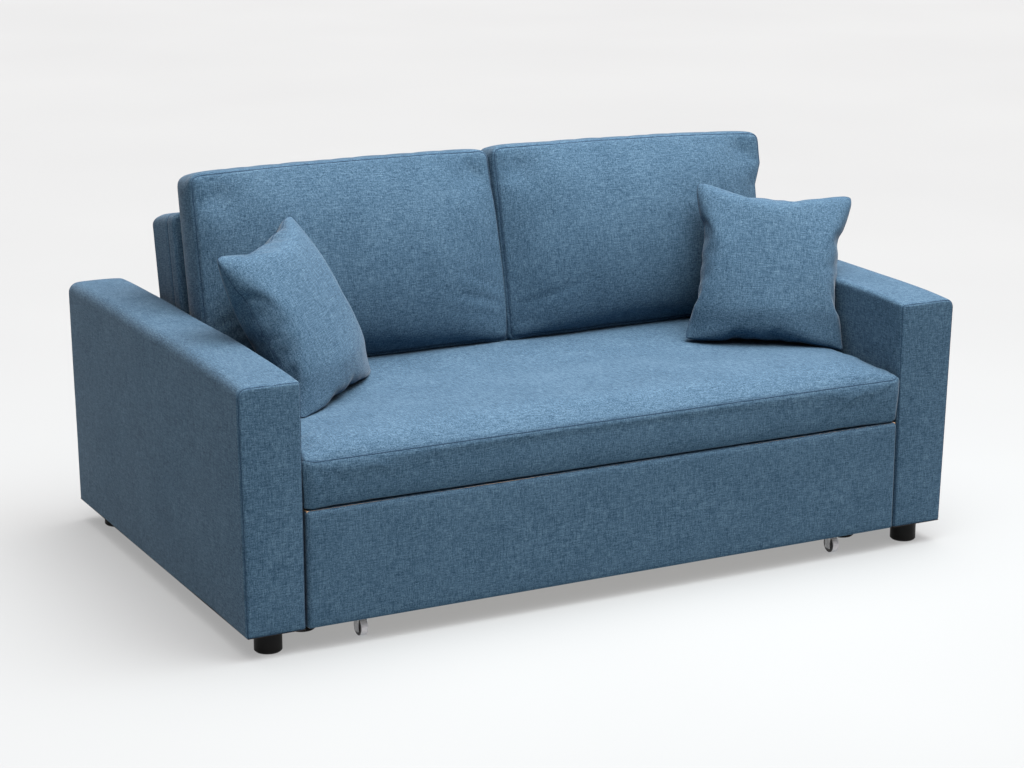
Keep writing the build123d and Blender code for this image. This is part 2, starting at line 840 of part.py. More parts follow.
def slats():
    """Wooden slats across the mattress frame."""
    z = (LIFT_BOTTOM + TUBE, LIFT_BOTTOM + TUBE + SLAT)
    pitch = (LIFT_REAR - LIFT_FRONT - SLAT_WIDTH) / (SLAT_COUNT - 1)
    pieces = []
    for i in range(SLAT_COUNT):
        start = LIFT_FRONT + i * pitch
        pieces.append(block((-LIFT_HALF, LIFT_HALF), (start, start + SLAT_WIDTH), z))
    return group(pieces)


def mattress_form(inset):
    """The trundle mattress, with rounded upright corners."""
    low = LIFT_BOTTOM + TUBE + SLAT
    slab = block(
        (-MATTRESS_HALF + inset, MATTRESS_HALF - inset),
        (MATTRESS_FRONT + inset, MATTRESS_REAR - inset),
        (low + inset, low + MATTRESS_THICK - inset),
    )
    return fillet(slab.edges().filter_by(Axis.Z), MATTRESS_CORNER - inset)


def mattress_cover():
    return mattress_form(0) - mattress_form(CLOTH)


def mattress_filling():
    return mattress_form(CLOTH)


def guide_shoes():
    """Nylon shoes that slide in the guide tracks."""
    rear = FRAME_REAR + SHOE_OVERRUN
    x = (BOX_INNER - TRACK_DEPTH + SHOE_INSET, BOX_INNER - TRACK_WALL - SHOE_SIDE_GAP)
    z = (TRACK_BOTTOM + TRACK_WALL + SHOE_GAP, TRACK_TOP - TRACK_WALL - SHOE_GAP)
    return group(both(block(x, (rear - SHOE_LENGTH, rear), z)))


def guide_brackets():
    """Steel brackets from the trundle's side rails to its guide shoes."""
    plate = block((FRAME_HALF, FRAME_HALF + PLATE), GUIDE_PLATE_Y, GUIDE_PLATE_Z)
    x = (FRAME_HALF + PLATE, BOX_INNER - TRACK_DEPTH + SHOE_INSET)
    bar = block(x, GUIDE_BAR_Y, GUIDE_BAR_Z)
    return group(both(plate + bar))


# --- Casters ----------------------------------------------------------------


def wheel_places():
    """Centres of the two wheels on the right; the left ones mirror them."""
    return [(WHEEL_X, y, WHEEL_R) for y in WHEEL_Y.values()]


def wheel(end):
    """A wheel with a rounded tread, recessed sides and an axle bore."""
    turn = Pos(WHEEL_X, WHEEL_Y[end], WHEEL_R) * Rot(0, 90, 0)
    body = Cylinder(WHEEL_R, WHEEL_WIDTH)
    body = fillet(body.edges(), WHEEL_ROUND)
    dish = Cylinder(WHEEL_R - WHEEL_RIM, 2 * WHEEL_DISH)
    for side in (-1, 1):
        body -= Pos(0, 0, side * (WHEEL_WIDTH / 2 - WHEEL_DISH)) * dish
    body -= Cylinder(AXLE_R + RUNNING_GAP, WHEEL_WIDTH)
    return turn * body


def caster_axle(place):
    """An axle from cheek to cheek of one fork."""
    x, y, z = place
    half = WHEEL_WIDTH / 2 + CHEEK_GAP + CHEEK
    return rod(0, (x - half, y, z), (x + half, y, z), AXLE_R)


def caster_axles():
    return group(both(*[caster_axle(p) for p in wheel_places()]))


def caster_forks():
    """Bent steel forks under the trundle's cross rails."""
    forks = []
    for place in wheel_places():
        x, y, _ = place
        near = WHEEL_WIDTH / 2 + CHEEK_GAP
        far = near + CHEEK
        wide = far + FORK_FLANGE
        cheek_y = (y - CHEEK_HALF, y + CHEEK_HALF)
        top_y = (y - FORK_TOP_HALF, y + FORK_TOP_HALF)
        left = block((x - far, x - near), cheek_y, (CHEEK_LOW, FRAME_BOTTOM))
        right = block((x + near, x + far), cheek_y, (CHEEK_LOW, FRAME_BOTTOM))
        top = block((x - wide, x + wide), top_y, (FRAME_BOTTOM - CHEEK, FRAME_BOTTOM))
        forks.append(left + right + top - caster_axle(place))
    return group(both(*forks))


def nodes():
    """Every node's name and shape."""
    parts = {
        "arm_base_cloths": arm_base_cloth(),
        "outer_feet": outer_feet(),
        "inner_feet": inner_feet(),
        "foot_bolts": foot_bolts(),
        "corner_blocks": corner_blocks(),
        "arm_bolts": arm_bolts(),
        "arm_padding": group(both(arm_padding())),
        "arm_skins": group(both(arm_skins())),
        "arm_frames": group(both(arm_frame())),
        "seat_rails": seat_rails(),
        "seat_centre_beam": seat_centre_beam(),
        "hinge_rail": hinge_rail(),
        "rear_panel": rear_panel(),
        "rear_panel_cover": rear_panel_cover(),
        "webbing": webbing(),
        "seat_felt": seat_felt(),
        "guide_tracks": guide_tracks(),
        "seat_cover": seat_cover(),
        "seat_filling": seat_filling(),
        "hinge_brackets": hinge_brackets(),
        "bracket_screws": bracket_screws(),
        "hinge_pins": hinge_pins(),
        "hinge_plates": hinge_plates(),
        "hinge_bolts": hinge_bolts(),
        "backrest_cover": backrest_cover(),
        "backrest_filling": backrest_filling(),
        "backrest_board": backrest_board(),
        "backrest_frame": backrest_frame(),
        "panel_cover": panel_cover(),
        "panel_padding": panel_padding(),
        "panel_board": panel_board(),
        "trundle_side_rails": trundle_side_rails(),
        "trundle_cross_rails": trundle_cross_rails(),
        "trundle_middle_rails": trundle_middle_rails(),
        "lift_frame_sides": lift_frame_sides(),
        "lift_frame_ends": lift_frame_ends(),
        "lift_arms": lift_arms(),
        "lift_pins": lift_pins(),
        "slats": slats(),
        "mattress_cover": mattress_cover(),
        "mattress_filling": mattress_filling(),
        "guide_shoes": guide_shoes(),
        "guide_brackets": guide_brackets(),
        "caster_forks": caster_forks(),
        "caster_axles": caster_axles(),
    }
    for side in ("left", "right"):
        parts[f"arm_cover_{side}"] = on_side(arm_cover(), side)
        parts[f"box_side_{side}"] = on_side(box_side(), side)
        parts[f"back_cushion_{side}_cover"] = cushion_cover(side)
        parts[f"back_cushion_{side}_filling"] = cushion_filling(side)
        parts[f"pillow_{side}"] = pillow(side)
        for end in WHEEL_Y:
            parts[f"wheel_{end}_{side}"] = on_side(wheel(end), side)
    return parts


os.makedirs("parts", exist_ok=True)
for name, shape in nodes().items():
    export_step(shape, f"parts/{name}.step")
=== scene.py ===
import json
import math

import bmesh
import bpy
import numpy as np
from mathutils import Matrix, Vector
from mathutils.bvhtree import BVHTree
from mathutils.kdtree import KDTree


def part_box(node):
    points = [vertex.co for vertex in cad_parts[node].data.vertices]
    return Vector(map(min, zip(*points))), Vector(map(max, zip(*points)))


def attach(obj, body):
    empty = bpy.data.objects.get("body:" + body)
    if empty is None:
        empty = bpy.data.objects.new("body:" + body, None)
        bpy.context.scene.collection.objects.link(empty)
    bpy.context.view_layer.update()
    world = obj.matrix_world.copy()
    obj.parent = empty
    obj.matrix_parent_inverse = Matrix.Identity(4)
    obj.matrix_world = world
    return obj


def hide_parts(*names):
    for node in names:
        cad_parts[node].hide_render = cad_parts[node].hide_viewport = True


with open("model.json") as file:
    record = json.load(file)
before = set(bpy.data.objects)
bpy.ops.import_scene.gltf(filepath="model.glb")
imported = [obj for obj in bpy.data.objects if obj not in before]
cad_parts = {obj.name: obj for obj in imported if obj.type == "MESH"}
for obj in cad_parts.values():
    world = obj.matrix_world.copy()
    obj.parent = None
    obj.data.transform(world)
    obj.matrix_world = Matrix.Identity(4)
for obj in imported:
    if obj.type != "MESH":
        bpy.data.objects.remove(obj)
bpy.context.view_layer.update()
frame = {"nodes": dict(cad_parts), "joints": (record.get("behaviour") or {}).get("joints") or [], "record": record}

# --- Places taken from the frame, in metres ---------------------------------

JOINTS = {joint["name"]: joint for joint in frame["joints"]}
SIDES = ("left", "right")
PIVOT = Vector(JOINTS["backrest_recline"]["pos_m"])
CUSHION_UP = Vector(JOINTS["back_cushion_left_lift"]["axis"])
LEAN = math.atan2(CUSHION_UP.y, CUSHION_UP.z)
LEANED = Matrix.Translation(PIVOT) @ Matrix.Rotation(-LEAN, 4, "X")
UPRIGHT = Matrix.Identity(4)
# Each throw pillow's turns in degrees: about the upright, back from the upright, and in its own plane.
PILLOW_TURNS = {"left": (42.0, 28.0, 4.0), "right": (-27.0, 28.0, -5.4)}


def box_in(node, place):
    """Low and high corners of a CAD node, in the axes of a placed piece."""
    inverse = place.inverted()
    corners = [inverse @ v.co for v in frame["nodes"][node].data.vertices]
    points = np.array(corners)
    return points.min(axis=0), points.max(axis=0)


# --- Mesh building ----------------------------------------------------------

# How fast ticks spread away from an edge, the waves in a ripple and the range of their sizes,
# and the points on each corner of an outline.
TICK_GROWTH = 0.25
RIPPLE_WAVES = 6
RIPPLE_SIZES = (0.7, 1.5)
CORNER_STEPS = 9
SHARPEST_CORNER = 0.001


def ticks(low, high, fine, coarse):
    """Positions from low to high, close together near both ends."""
    half = (high - low) / 2
    steps = [0.0]
    while steps[-1] < half:
        steps.append(steps[-1] + min(coarse, fine + TICK_GROWTH * steps[-1]))
    steps = np.array(steps) * half / steps[-1]
    return np.concatenate([low + steps, (high - steps[:-1])[::-1]])


def box_surface(grid):
    """Points and outward faces over a box's surface, through the ticks of each axis."""
    counts = [len(line) for line in grid]
    surface = np.ones(counts, bool)
    surface[1:-1, 1:-1, 1:-1] = False
    ids = np.full(counts, -1)
    ids[surface] = np.arange(surface.sum())
    where = np.argwhere(surface)
    points = np.stack([grid[k][where[:, k]] for k in range(3)], axis=1)
    faces = []
    for axis in range(3):
        for end in (0, -1):
            side = np.take(ids, end, axis=axis)
            loop = [side[:-1, :-1], side[1:, :-1], side[1:, 1:], side[:-1, 1:]]
            if (end == 0) != (axis == 1):
                loop.reverse()
            faces.append(np.stack([c.ravel() for c in loop], axis=1))
    return points, np.concatenate(faces)


def soft_box(low, high, axis, corners, ends, fine=0.002, coarse=0.012):
    """A box with rounded edges.

    corners are the radii of its outline across the axis, by [low or high][low or high].
    ends are the radii of the edges round its two ends, each a number or a function
    of the outline's outward direction."""
    low, high = np.array(low), np.array(high)
    points, faces = box_surface([ticks(low[k], high[k], fine, coarse) for k in range(3)])
    across = [k for k in range(3) if k != axis]
    middle, half = (low + high) / 2, (high - low) / 2
    flat = points[:, across] - middle[across]
    half_flat = half[across]
    upper = (flat > 0).astype(int)
    radius = np.array(corners)[upper[:, 0], upper[:, 1]][:, None]
    core = np.clip(flat, radius - half_flat, half_flat - radius)
    out = flat - core
    length = np.linalg.norm(out, axis=1, keepdims=True)
    in_corner = (np.abs(out) > 1e-9).all(axis=1, keepdims=True)
    shrink = np.abs(out).max(axis=1, keepdims=True) / np.maximum(length, 1e-9)
    out = np.where(in_corner, out * shrink, out)
    flat = core + out
    length = np.linalg.norm(out, axis=1, keepdims=True)
    gaps = half_flat - np.abs(flat)
    nearest = np.eye(2)[gaps.argmin(axis=1)] * np.sign(flat)
    normal = np.where(in_corner, out / np.maximum(length, 1e-9), nearest)
    depth = np.where(in_corner, radius - length, gaps.min(axis=1, keepdims=True))
    along = points[:, axis : axis + 1] - middle[axis]
    for sign, end in zip((-1, 1), ends):
        rounding = end(normal)[:, None] if callable(end) else np.full_like(depth, end)
        gap = half[axis] - sign * along
        near = (gap < rounding) & (depth < rounding)
        into = np.concatenate([rounding - depth, rounding - gap], axis=1)
        size = np.maximum(np.linalg.norm(into, axis=1, keepdims=True), 1e-9)
        rounded = into * rounding / size
        flat = np.where(near, flat + normal * (rounded[:, :1] - into[:, :1]), flat)
        along = np.where(near, along + sign * (rounded[:, 1:] - into[:, 1:]), along)
        depth = np.where(near, rounding - rounded[:, :1], depth)
    points[:, across] = flat + middle[across]
    points[:, axis] = along[:, 0] + middle[axis]
    return points, faces


def away_from_edges(points, low, high, axes, reach):
    """0 at a box's edges on the given axes, rising to 1 inside."""
    share = np.ones(len(points))
    for k in axes:
        for gap in (points[:, k] - low[k], high[k] - points[:, k]):
            share *= 1 - np.exp(-np.maximum(gap, 0) / reach)
    return share


def bulge(points, low, high, axis, sign, amount, reach, fade=0.05):
    """Push one face of a box-like piece out, more away from its edges."""
    face = high[axis] if sign > 0 else low[axis]
    near = np.clip(1 - np.abs(points[:, axis] - face) / fade, 0, 1)
    others = [k for k in range(3) if k != axis]
    points[:, axis] += sign * amount * near * away_from_edges(points, low, high, others, reach)


def ripple(points, size, amount, seed):
    """Gentle unevenness: a few waves of about the given size, fixed by the seed."""
    rng = np.random.default_rng(seed)
    total = np.zeros(len(points))
    for _ in range(RIPPLE_WAVES):
        direction = rng.normal(size=3)
        direction *= 2 * math.pi / (size * rng.uniform(*RIPPLE_SIZES) * np.linalg.norm(direction))
        total += np.sin(points @ direction + rng.uniform(0, 2 * math.pi))
    return amount * total / (RIPPLE_WAVES / 2)


def outline_path(low, high, axis, corners, at, inset=0.0, step=0.004):
    """The outline of a soft box across the axis, as closely spaced points."""
    a, b = [k for k in range(3) if k != axis]
    loop = []
    for turn, (i, j) in enumerate(((1, 1), (0, 1), (0, 0), (1, 0))):
        radius = max(corners[i][j] - inset, SHARPEST_CORNER)
        centre_a = (high[a] - inset - radius) if i else (low[a] + inset + radius)
        centre_b = (high[b] - inset - radius) if j else (low[b] + inset + radius)
        for angle in np.linspace(turn, turn + 1, CORNER_STEPS) * math.pi / 2:
            loop.append((centre_a + radius * math.cos(angle), centre_b + radius * math.sin(angle)))
    loop.append(loop[0])
    loop = np.array(loop)
    lengths = np.concatenate([[0], np.cumsum(np.linalg.norm(np.diff(loop, axis=0), axis=1))])
    even = np.arange(0, lengths[-1], step)
    path = np.zeros((len(even), 3))
    path[:, a] = np.interp(even, lengths, loop[:, 0])
    path[:, b] = np.interp(even, lengths, loop[:, 1])
    path[:, axis] = at
    return path


def new_piece(name, points, faces, place=UPRIGHT):
    """A smooth-shaded object with the given mesh, placed in the scene."""
    mesh = bpy.data.meshes.new(name)
    mesh.from_pydata(points.tolist(), [], faces.tolist())
    mesh.shade_smooth()
    piece = bpy.data.objects.new(name, mesh)
    bpy.context.scene.collection.objects.link(piece)
    piece.matrix_world = place
    return piece


def points_of(piece):
    """The piece's points as rows, in its own axes."""
    flat = np.empty(len(piece.data.vertices) * 3)
    piece.data.vertices.foreach_get("co", flat)
    return flat.reshape(-1, 3)


def move_points(piece, points):
    """Give the piece's points new places, in its own axes."""
    piece.data.vertices.foreach_set("co", points.ravel())
    piece.data.update()


def apply_modifiers(piece):
    """Replace the piece's mesh with what its modifiers make of it."""
    graph = bpy.context.evaluated_depsgraph_get()
    mesh = bpy.data.meshes.new_from_object(piece.evaluated_get(graph))
    piece.modifiers.clear()
    piece.data = mesh
    mesh.shade_smooth()


def refine(piece):
    """One level of smooth subdivision."""
    piece.modifiers.new("Refine", "SUBSURF").levels = 1
    apply_modifiers(piece)


def soften(piece, rounds):
    """Even out small wrinkles."""
    smooth = piece.modifiers.new("Smooth", "SMOOTH")
    smooth.iterations = rounds
    apply_modifiers(piece)


SIM_FRAMES = 20
HELD_FADE = 0.6


def inflate(piece, pressure, cap, voxel=None, held=None, held_width=0.0, growth=0.0):
    """Blow a padded piece up as cloth, and limit how far any point moves.

    voxel is the cell size of an even mesh made first. held are points of the seams that
    keep their place, held_width is how far from them the hold reaches, and growth is the
    share by which the cloth is cut too large."""
    if voxel:
        remesh = piece.modifiers.new("Remesh", "REMESH")
        remesh.mode = "VOXEL"
        remesh.voxel_size = voxel
        apply_modifiers(piece)
    start = points_of(piece)
    cloth = piece.modifiers.new("Cloth", "CLOTH")
    settings = cloth.settings
    settings.quality = 5
    settings.mass = 0.3
    settings.tension_stiffness = 15
    settings.compression_stiffness = 15
    settings.shear_stiffness = 5
    settings.bending_stiffness = 0.5
    settings.use_pressure = True
    settings.uniform_pressure_force = pressure
    settings.shrink_min = -growth
    settings.effector_weights.gravity = 0
    cloth.collision_settings.use_collision = False
    if held is not None:
        tree = tree_of(held)
        group = piece.vertex_groups.new(name="held")
        for i in np.flatnonzero(near_any(start, held, held_width)):
            distance = tree.find(start[i])[2]
            if distance < held_width:
                group.add([int(i)], 1 - HELD_FADE * distance / held_width, "REPLACE")
        settings.vertex_group_mass = "held"
    cloth.point_cache.frame_start = 1
    cloth.point_cache.frame_end = SIM_FRAMES
    for number in range(1, SIM_FRAMES + 1):
        bpy.context.scene.frame_set(number)
    apply_modifiers(piece)
    moved = points_of(piece) - start
    length = np.linalg.norm(moved, axis=1, keepdims=True)
    limited = cap * np.tanh(length / cap)
    move_points(piece, start + moved * limited / np.maximum(length, 1e-9))
    bpy.context.scene.frame_set(1)
    piece.vertex_groups.clear()


# Factors that turn a cell's three whole numbers into one.
CELL_KEYS = np.array([1, 5003, 25030009])


def near_any(points, others, reach):
    """Whether each point shares a cell, or a neighbouring cell, with any of the others."""
    cells = set(map(tuple, np.floor(others / reach).astype(int)))
    steps = [(x, y, z) for x in (-1, 0, 1) for y in (-1, 0, 1) for z in (-1, 0, 1)]
    cells = np.array([(a + x, b + y, c + z) for a, b, c in cells for x, y, z in steps])
    return np.isin(np.floor(points / reach).astype(int) @ CELL_KEYS, np.unique(cells @ CELL_KEYS))


def tree_of(points):
    """A search tree over points."""
    tree = KDTree(len(points))
    for i, point in enumerate(points):
        tree.insert(point, i)
    tree.balance()
    return tree


def normals_of(piece):
    """The outward direction at each of the piece's points."""
    flat = np.empty(len(piece.data.vertices) * 3)
    piece.data.vertices.foreach_get("normal", flat)
    return flat.reshape(-1, 3)


def surface_of(piece):
    """A search tree over the piece's faces, in its own axes."""
    shape = bmesh.new()
    shape.from_mesh(piece.data)
    tree = BVHTree.FromBMesh(shape)
    shape.free()
    return tree


THREAD_SIDES = 6


def tube(path, normals, radius, closed):
    """Points and faces of a thin tube along a path."""
    ahead = np.roll(path, -1, axis=0)
    behind = np.roll(path, 1, axis=0)
    if not closed:
        ahead[-1] = path[-1]
        behind[0] = path[0]
    along = ahead - behind
    along /= np.maximum(np.linalg.norm(along, axis=1, keepdims=True), 1e-9)
    aside = np.cross(along, normals)
    aside /= np.maximum(np.linalg.norm(aside, axis=1, keepdims=True), 1e-9)
    upward = np.cross(aside, along)
    sides = THREAD_SIDES
    rings = []
    for k in range(sides):
        angle = 2 * math.pi * k / sides
        rings.append(path + radius * (math.cos(angle) * aside + math.sin(angle) * upward))
    points = np.stack(rings, axis=1).reshape(-1, 3)
    count = len(path)
    faces = []
    for i in range(count if closed else count - 1):
        j = (i + 1) % count
        for k in range(sides):
            n = (k + 1) % sides
            faces.append((i * sides + k, i * sides + n, j * sides + n, j * sides + k))
    if not closed:
        faces.append(tuple(range(sides)))
        faces.append(tuple((count - 1) * sides + k for k in reversed(range(sides))))
    return points, faces


# Seams: how deep and wide the cloth is pressed in, the thread's radius, the share of the depth
# it lies at, how many widths the press reaches, and the rounds that even out its direction.
SEAM_DEPTH = 0.0022
SEAM_WIDTH = 0.004
THREAD_RADIUS = 0.0009
THREAD_DEPTH = 0.75
SEAM_REACH = 3
SEAM_SMOOTHING = 6


def sew(piece, body, name, paths, depth=SEAM_DEPTH, width=SEAM_WIDTH, thread=THREAD_RADIUS):
    """Press seams into a piece along paths, and lay their thread in them.

    A path is (points, closed)."""
    all_points, all_faces, seam_points = [], [], []
    surface = surface_of(piece)
    for path, closed in paths:
        hits = [surface.find_nearest(Vector(p)) for p in path]
        spots = np.array([hit[0] for hit in hits])
        normals = np.array([hit[1] for hit in hits])
        for _ in range(SEAM_SMOOTHING):
            smooth = (np.roll(normals, 1, axis=0) + normals + np.roll(normals, -1, axis=0)) / 3
            ends = normals[:1], normals[-1:]
            normals = smooth if closed else np.concatenate([ends[0], smooth[1:-1], ends[1]])
        seam_points.append(spots)
        points, faces = tube(spots - normals * depth * THREAD_DEPTH, normals, thread, closed)
        offset = sum(len(p) for p in all_points)
        all_points.append(points)
        all_faces += [tuple(i + offset for i in face) for face in faces]
    seam_points = np.concatenate(seam_points)
    tree = tree_of(seam_points)
    points, normals = points_of(piece), normals_of(piece)
    close = np.flatnonzero(near_any(points, seam_points, SEAM_REACH * width))
    distances = np.array([tree.find(points[i])[2] for i in close])
    press = depth * np.exp(-((distances / width) ** 2))
    points[close] -= normals[close] * press[:, None]
    move_points(piece, points)
    mesh = bpy.data.meshes.new(name)
    mesh.from_pydata(np.concatenate(all_points).tolist(), [], all_faces)
    mesh.shade_smooth()
    seams = bpy.data.objects.new(name, mesh)
    bpy.context.scene.collection.objects.link(seams)
    seams.matrix_world = piece.matrix_world.copy()
    seams.data.materials.append(THREAD)
    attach(seams, body)
    return seams


# --- Materials --------------------------------------------------------------


def shader(name):
    """A new material, its node tree and its surface shader."""
    material = bpy.data.materials.new(name)
    material.use_nodes = True
    tree = material.node_tree
    return material, tree, tree.nodes["Principled BSDF"]


def add(tree, kind, inputs, **settings):
    """A node with settings, and inputs that are values or other nodes' outputs."""
    node = tree.nodes.new(kind)
    for key, value in settings.items():
        setattr(node, key, value)
    for key, value in inputs.items():
        if isinstance(value, bpy.types.NodeSocket):
            tree.links.new(value, node.inputs[key])
        else:
            node.inputs[key].default_value = value
    return node


def noise(tree, scale, detail=2.0, roughness=0.5):
    """Noise whose cells have the given number per metre on each axis."""
    place = add(tree, "ShaderNodeTexCoord", {}).outputs["Object"]
    stretched = add(tree, "ShaderNodeMapping", {"Vector": place, "Scale": scale}).outputs[0]
    inputs = {"Vector": stretched, "Scale": 1.0, "Detail": detail, "Roughness": roughness}
    return add(tree, "ShaderNodeTexNoise", inputs).outputs[0]


def math_of(tree, operation, a, b):
    """One Math node's output."""
    return add(tree, "ShaderNodeMath", {0: a, 1: b}, operation=operation).outputs[0]


def blended(tree, first, second, share):
    """The sum of two outputs, each times its share of the whole."""
    first = math_of(tree, "MULTIPLY", first, 1 - share)
    return math_of(tree, "ADD", first, math_of(tree, "MULTIPLY", second, share))


def ramp(tree, factor, stops):
    """Colours along a factor, as (position, colour) stops."""
    node = add(tree, "ShaderNodeValToRGB", {"Fac": factor})
    elements = node.color_ramp.elements
    while len(elements) < len(stops):
        elements.new(0.5)
    for element, (position, colour) in zip(elements, stops):
        element.position = position
        element.color = (*colour, 1)
    return node.outputs["Color"]


def bump(tree, surface, height, strength, distance):
    """Relief on the surface from an output."""
    inputs = {"Height": height, "Strength": strength, "Distance": distance}
    tree.links.new(add(tree, "ShaderNodeBump", inputs).outputs[0], surface.inputs["Normal"])


def streaks(tree, along, across):
    """Threads in all three directions: the mean of noises stretched along each axis."""
    lines = []
    for axis in range(3):
        scale = [across] * 3
        scale[axis] = along
        lines.append(noise(tree, scale, detail=1.5))
    total = math_of(tree, "ADD", math_of(tree, "ADD", lines[0], lines[1]), lines[2])
    return math_of(tree, "DIVIDE", total, 3.0)


def blue_weave():
    """Heathered mid-blue cloth: short uneven threads both ways, some light and some dark."""
    material, tree, surface = shader("blue_weave")
    slubs = streaks(tree, along=60.0, across=430.0)
    threads = streaks(tree, along=200.0, across=1100.0)
    mottle = noise(tree, (9.0, 9.0, 9.0), detail=3.0)
    mixed = blended(tree, slubs, threads, 0.45)
    worn = math_of(tree, "ADD", mixed, math_of(tree, "MULTIPLY", mottle, 0.06))
    dark, middle, light = (0.018, 0.045, 0.078), (0.042, 0.092, 0.146), (0.084, 0.156, 0.224)
    stops = [(0.44, dark), (0.53, middle), (0.62, light)]
    tree.links.new(ramp(tree, worn, stops), surface.inputs["Base Color"])
    surface.inputs["Roughness"].default_value = 0.92
    surface.inputs["Specular IOR Level"].default_value = 0.08
    surface.inputs["Sheen Weight"].default_value = 0.18
    surface.inputs["Sheen Roughness"].default_value = 0.30
    surface.inputs["Sheen Tint"].default_value = (0.80, 0.93, 1.0, 1)
    bump(tree, surface, mixed, strength=0.5, distance=0.0012)
    return material


def seam_thread():
    """Dark twisted sewing thread."""
    material, tree, surface = shader("seam_thread")
    twist = noise(tree, (900.0, 900.0, 900.0))
    stops = [(0.35, (0.012, 0.028, 0.055)), (0.65, (0.035, 0.075, 0.130))]
    tree.links.new(ramp(tree, twist, stops), surface.inputs["Base Color"])
    surface.inputs["Roughness"].default_value = 0.9
    surface.inputs["Specular IOR Level"].default_value = 0.05
    bump(tree, surface, twist, strength=0.4, distance=0.0005)
    return material


# Cells per metre of wood's bands and pores, along and across the grain.
WOOD_ALONG = (1.6, 9.0)
WOOD_ACROSS = (22.0, 260.0)


def grained(name, dark, light, axis, roughness):
    """Wood: bands and fine pores stretched along one axis."""
    material, tree, surface = shader(name)
    wide, narrow = [[cells] * 3 for cells in WOOD_ACROSS]
    wide[axis], narrow[axis] = WOOD_ALONG
    bands = noise(tree, wide, detail=4.0, roughness=0.6)
    pores = noise(tree, narrow)
    mixed = blended(tree, bands, pores, 0.3)
    middle = tuple((a + b) / 2 for a, b in zip(dark, light))
    stops = [(0.38, dark), (0.5, middle), (0.62, light)]
    tree.links.new(ramp(tree, mixed, stops), surface.inputs["Base Color"])
    surface.inputs["Roughness"].default_value = roughness
    bump(tree, surface, mixed, strength=0.35, distance=0.0008)
    return material


def speckled(name, dark, light, cells, roughness, height=0.0005, metallic=0.0, gloss=0.5):
    """A surface with an even fine grain: moulded plastic, paint, foam, felt or rubber."""
    material, tree, surface = shader(name)
    grain = noise(tree, (cells, cells, cells), detail=3.0)
    patches = noise(tree, (14.0, 14.0, 14.0))
    mixed = blended(tree, grain, patches, 0.4)
    tree.links.new(ramp(tree, mixed, [(0.35, dark), (0.65, light)]), surface.inputs["Base Color"])
    surface.inputs["Metallic"].default_value = metallic
    surface.inputs["Roughness"].default_value = roughness
    surface.inputs["Specular IOR Level"].default_value = gloss
    bump(tree, surface, grain, strength=0.3, distance=height)
    return material


def zinc():
    """Zinc-plated steel: faint crystal patches and uneven gloss."""
    material, tree, surface = shader("zinc_steel")
    patches = noise(tree, (120.0, 120.0, 120.0), detail=3.0)
    stops = [(0.35, (0.42, 0.43, 0.45)), (0.65, (0.68, 0.69, 0.70))]
    tree.links.new(ramp(tree, patches, stops), surface.inputs["Base Color"])
    gloss = ramp(tree, patches, [(0.3, (0.28,) * 3), (0.7, (0.45,) * 3)])
    tree.links.new(gloss, surface.inputs["Roughness"])
    surface.inputs["Metallic"].default_value = 1.0
    return material


def ribbed_webbing():
    """Elastic webbing: pale cloth with fine ribs."""
    material, tree, surface = shader("webbing")
    ribs = streaks(tree, along=120.0, across=900.0)
    stops = [(0.42, (0.30, 0.26, 0.20)), (0.58, (0.58, 0.53, 0.44))]
    tree.links.new(ramp(tree, ribs, stops), surface.inputs["Base Color"])
    surface.inputs["Roughness"].default_value = 0.9
    bump(tree, surface, ribs, strength=0.6, distance=0.001)
    return material


def caster_wheel():
    """Pale soft tread, with darker moulded sides that face along the axle."""
    material, tree, surface = shader("caster_wheel")
    normal = add(tree, "ShaderNodeTexCoord", {}).outputs["Normal"]
    split = add(tree, "ShaderNodeSeparateXYZ", {"Vector": normal}).outputs["X"]
    sideways = math_of(tree, "ABSOLUTE", split, 0.0)
    grain = noise(tree, (700.0, 700.0, 700.0))
    mixed = math_of(tree, "ADD", sideways, math_of(tree, "MULTIPLY", grain, 0.1))
    tread, shoulder, side = (0.74, 0.75, 0.78), (0.66, 0.67, 0.70), (0.07, 0.07, 0.075)
    stops = [(0.0, tread), (0.72, shoulder), (0.86, side)]
    tree.links.new(ramp(tree, mixed, stops), surface.inputs["Base Color"])
    surface.inputs["Roughness"].default_value = 0.5
    bump(tree, surface, grain, strength=0.3, distance=0.0004)
    return material


WEAVE = blue_weave()
THREAD = seam_thread()
PLAIN = {
    "foam": speckled("foam", (0.70, 0.64, 0.44), (0.84, 0.79, 0.62), 500.0, 0.95, 0.001),
    "black_steel": speckled("black_steel", (0.012, 0.012, 0.014), (0.030, 0.030, 0.033), 900.0, 0.5),
    "zinc_steel": zinc(),
    "black_plastic": speckled("black_plastic", (0.003,) * 3, (0.006,) * 3, 1100.0, 0.45, gloss=0.15),
    "nylon": speckled("nylon", (0.72, 0.71, 0.66), (0.84, 0.83, 0.79), 600.0, 0.4),
    "black_cloth": speckled(
        "black_cloth", (0.010, 0.010, 0.011), (0.030, 0.030, 0.032), 800.0, 0.95, 0.0008
    ),
    "webbing": ribbed_webbing(),
    "felt": speckled("felt", (0.13, 0.13, 0.135), (0.24, 0.24, 0.245), 420.0, 1.0, 0.0015),
    "grey_rubber": caster_wheel(),
    "blue_weave": WEAVE,
}
WOODS = {
    "timber": ((0.36, 0.22, 0.11), (0.62, 0.45, 0.27), 0.62),
    "plywood": ((0.42, 0.28, 0.15), (0.64, 0.48, 0.30), 0.55),
    "hardboard": ((0.10, 0.060, 0.032), (0.19, 0.115, 0.065), 0.6),
}


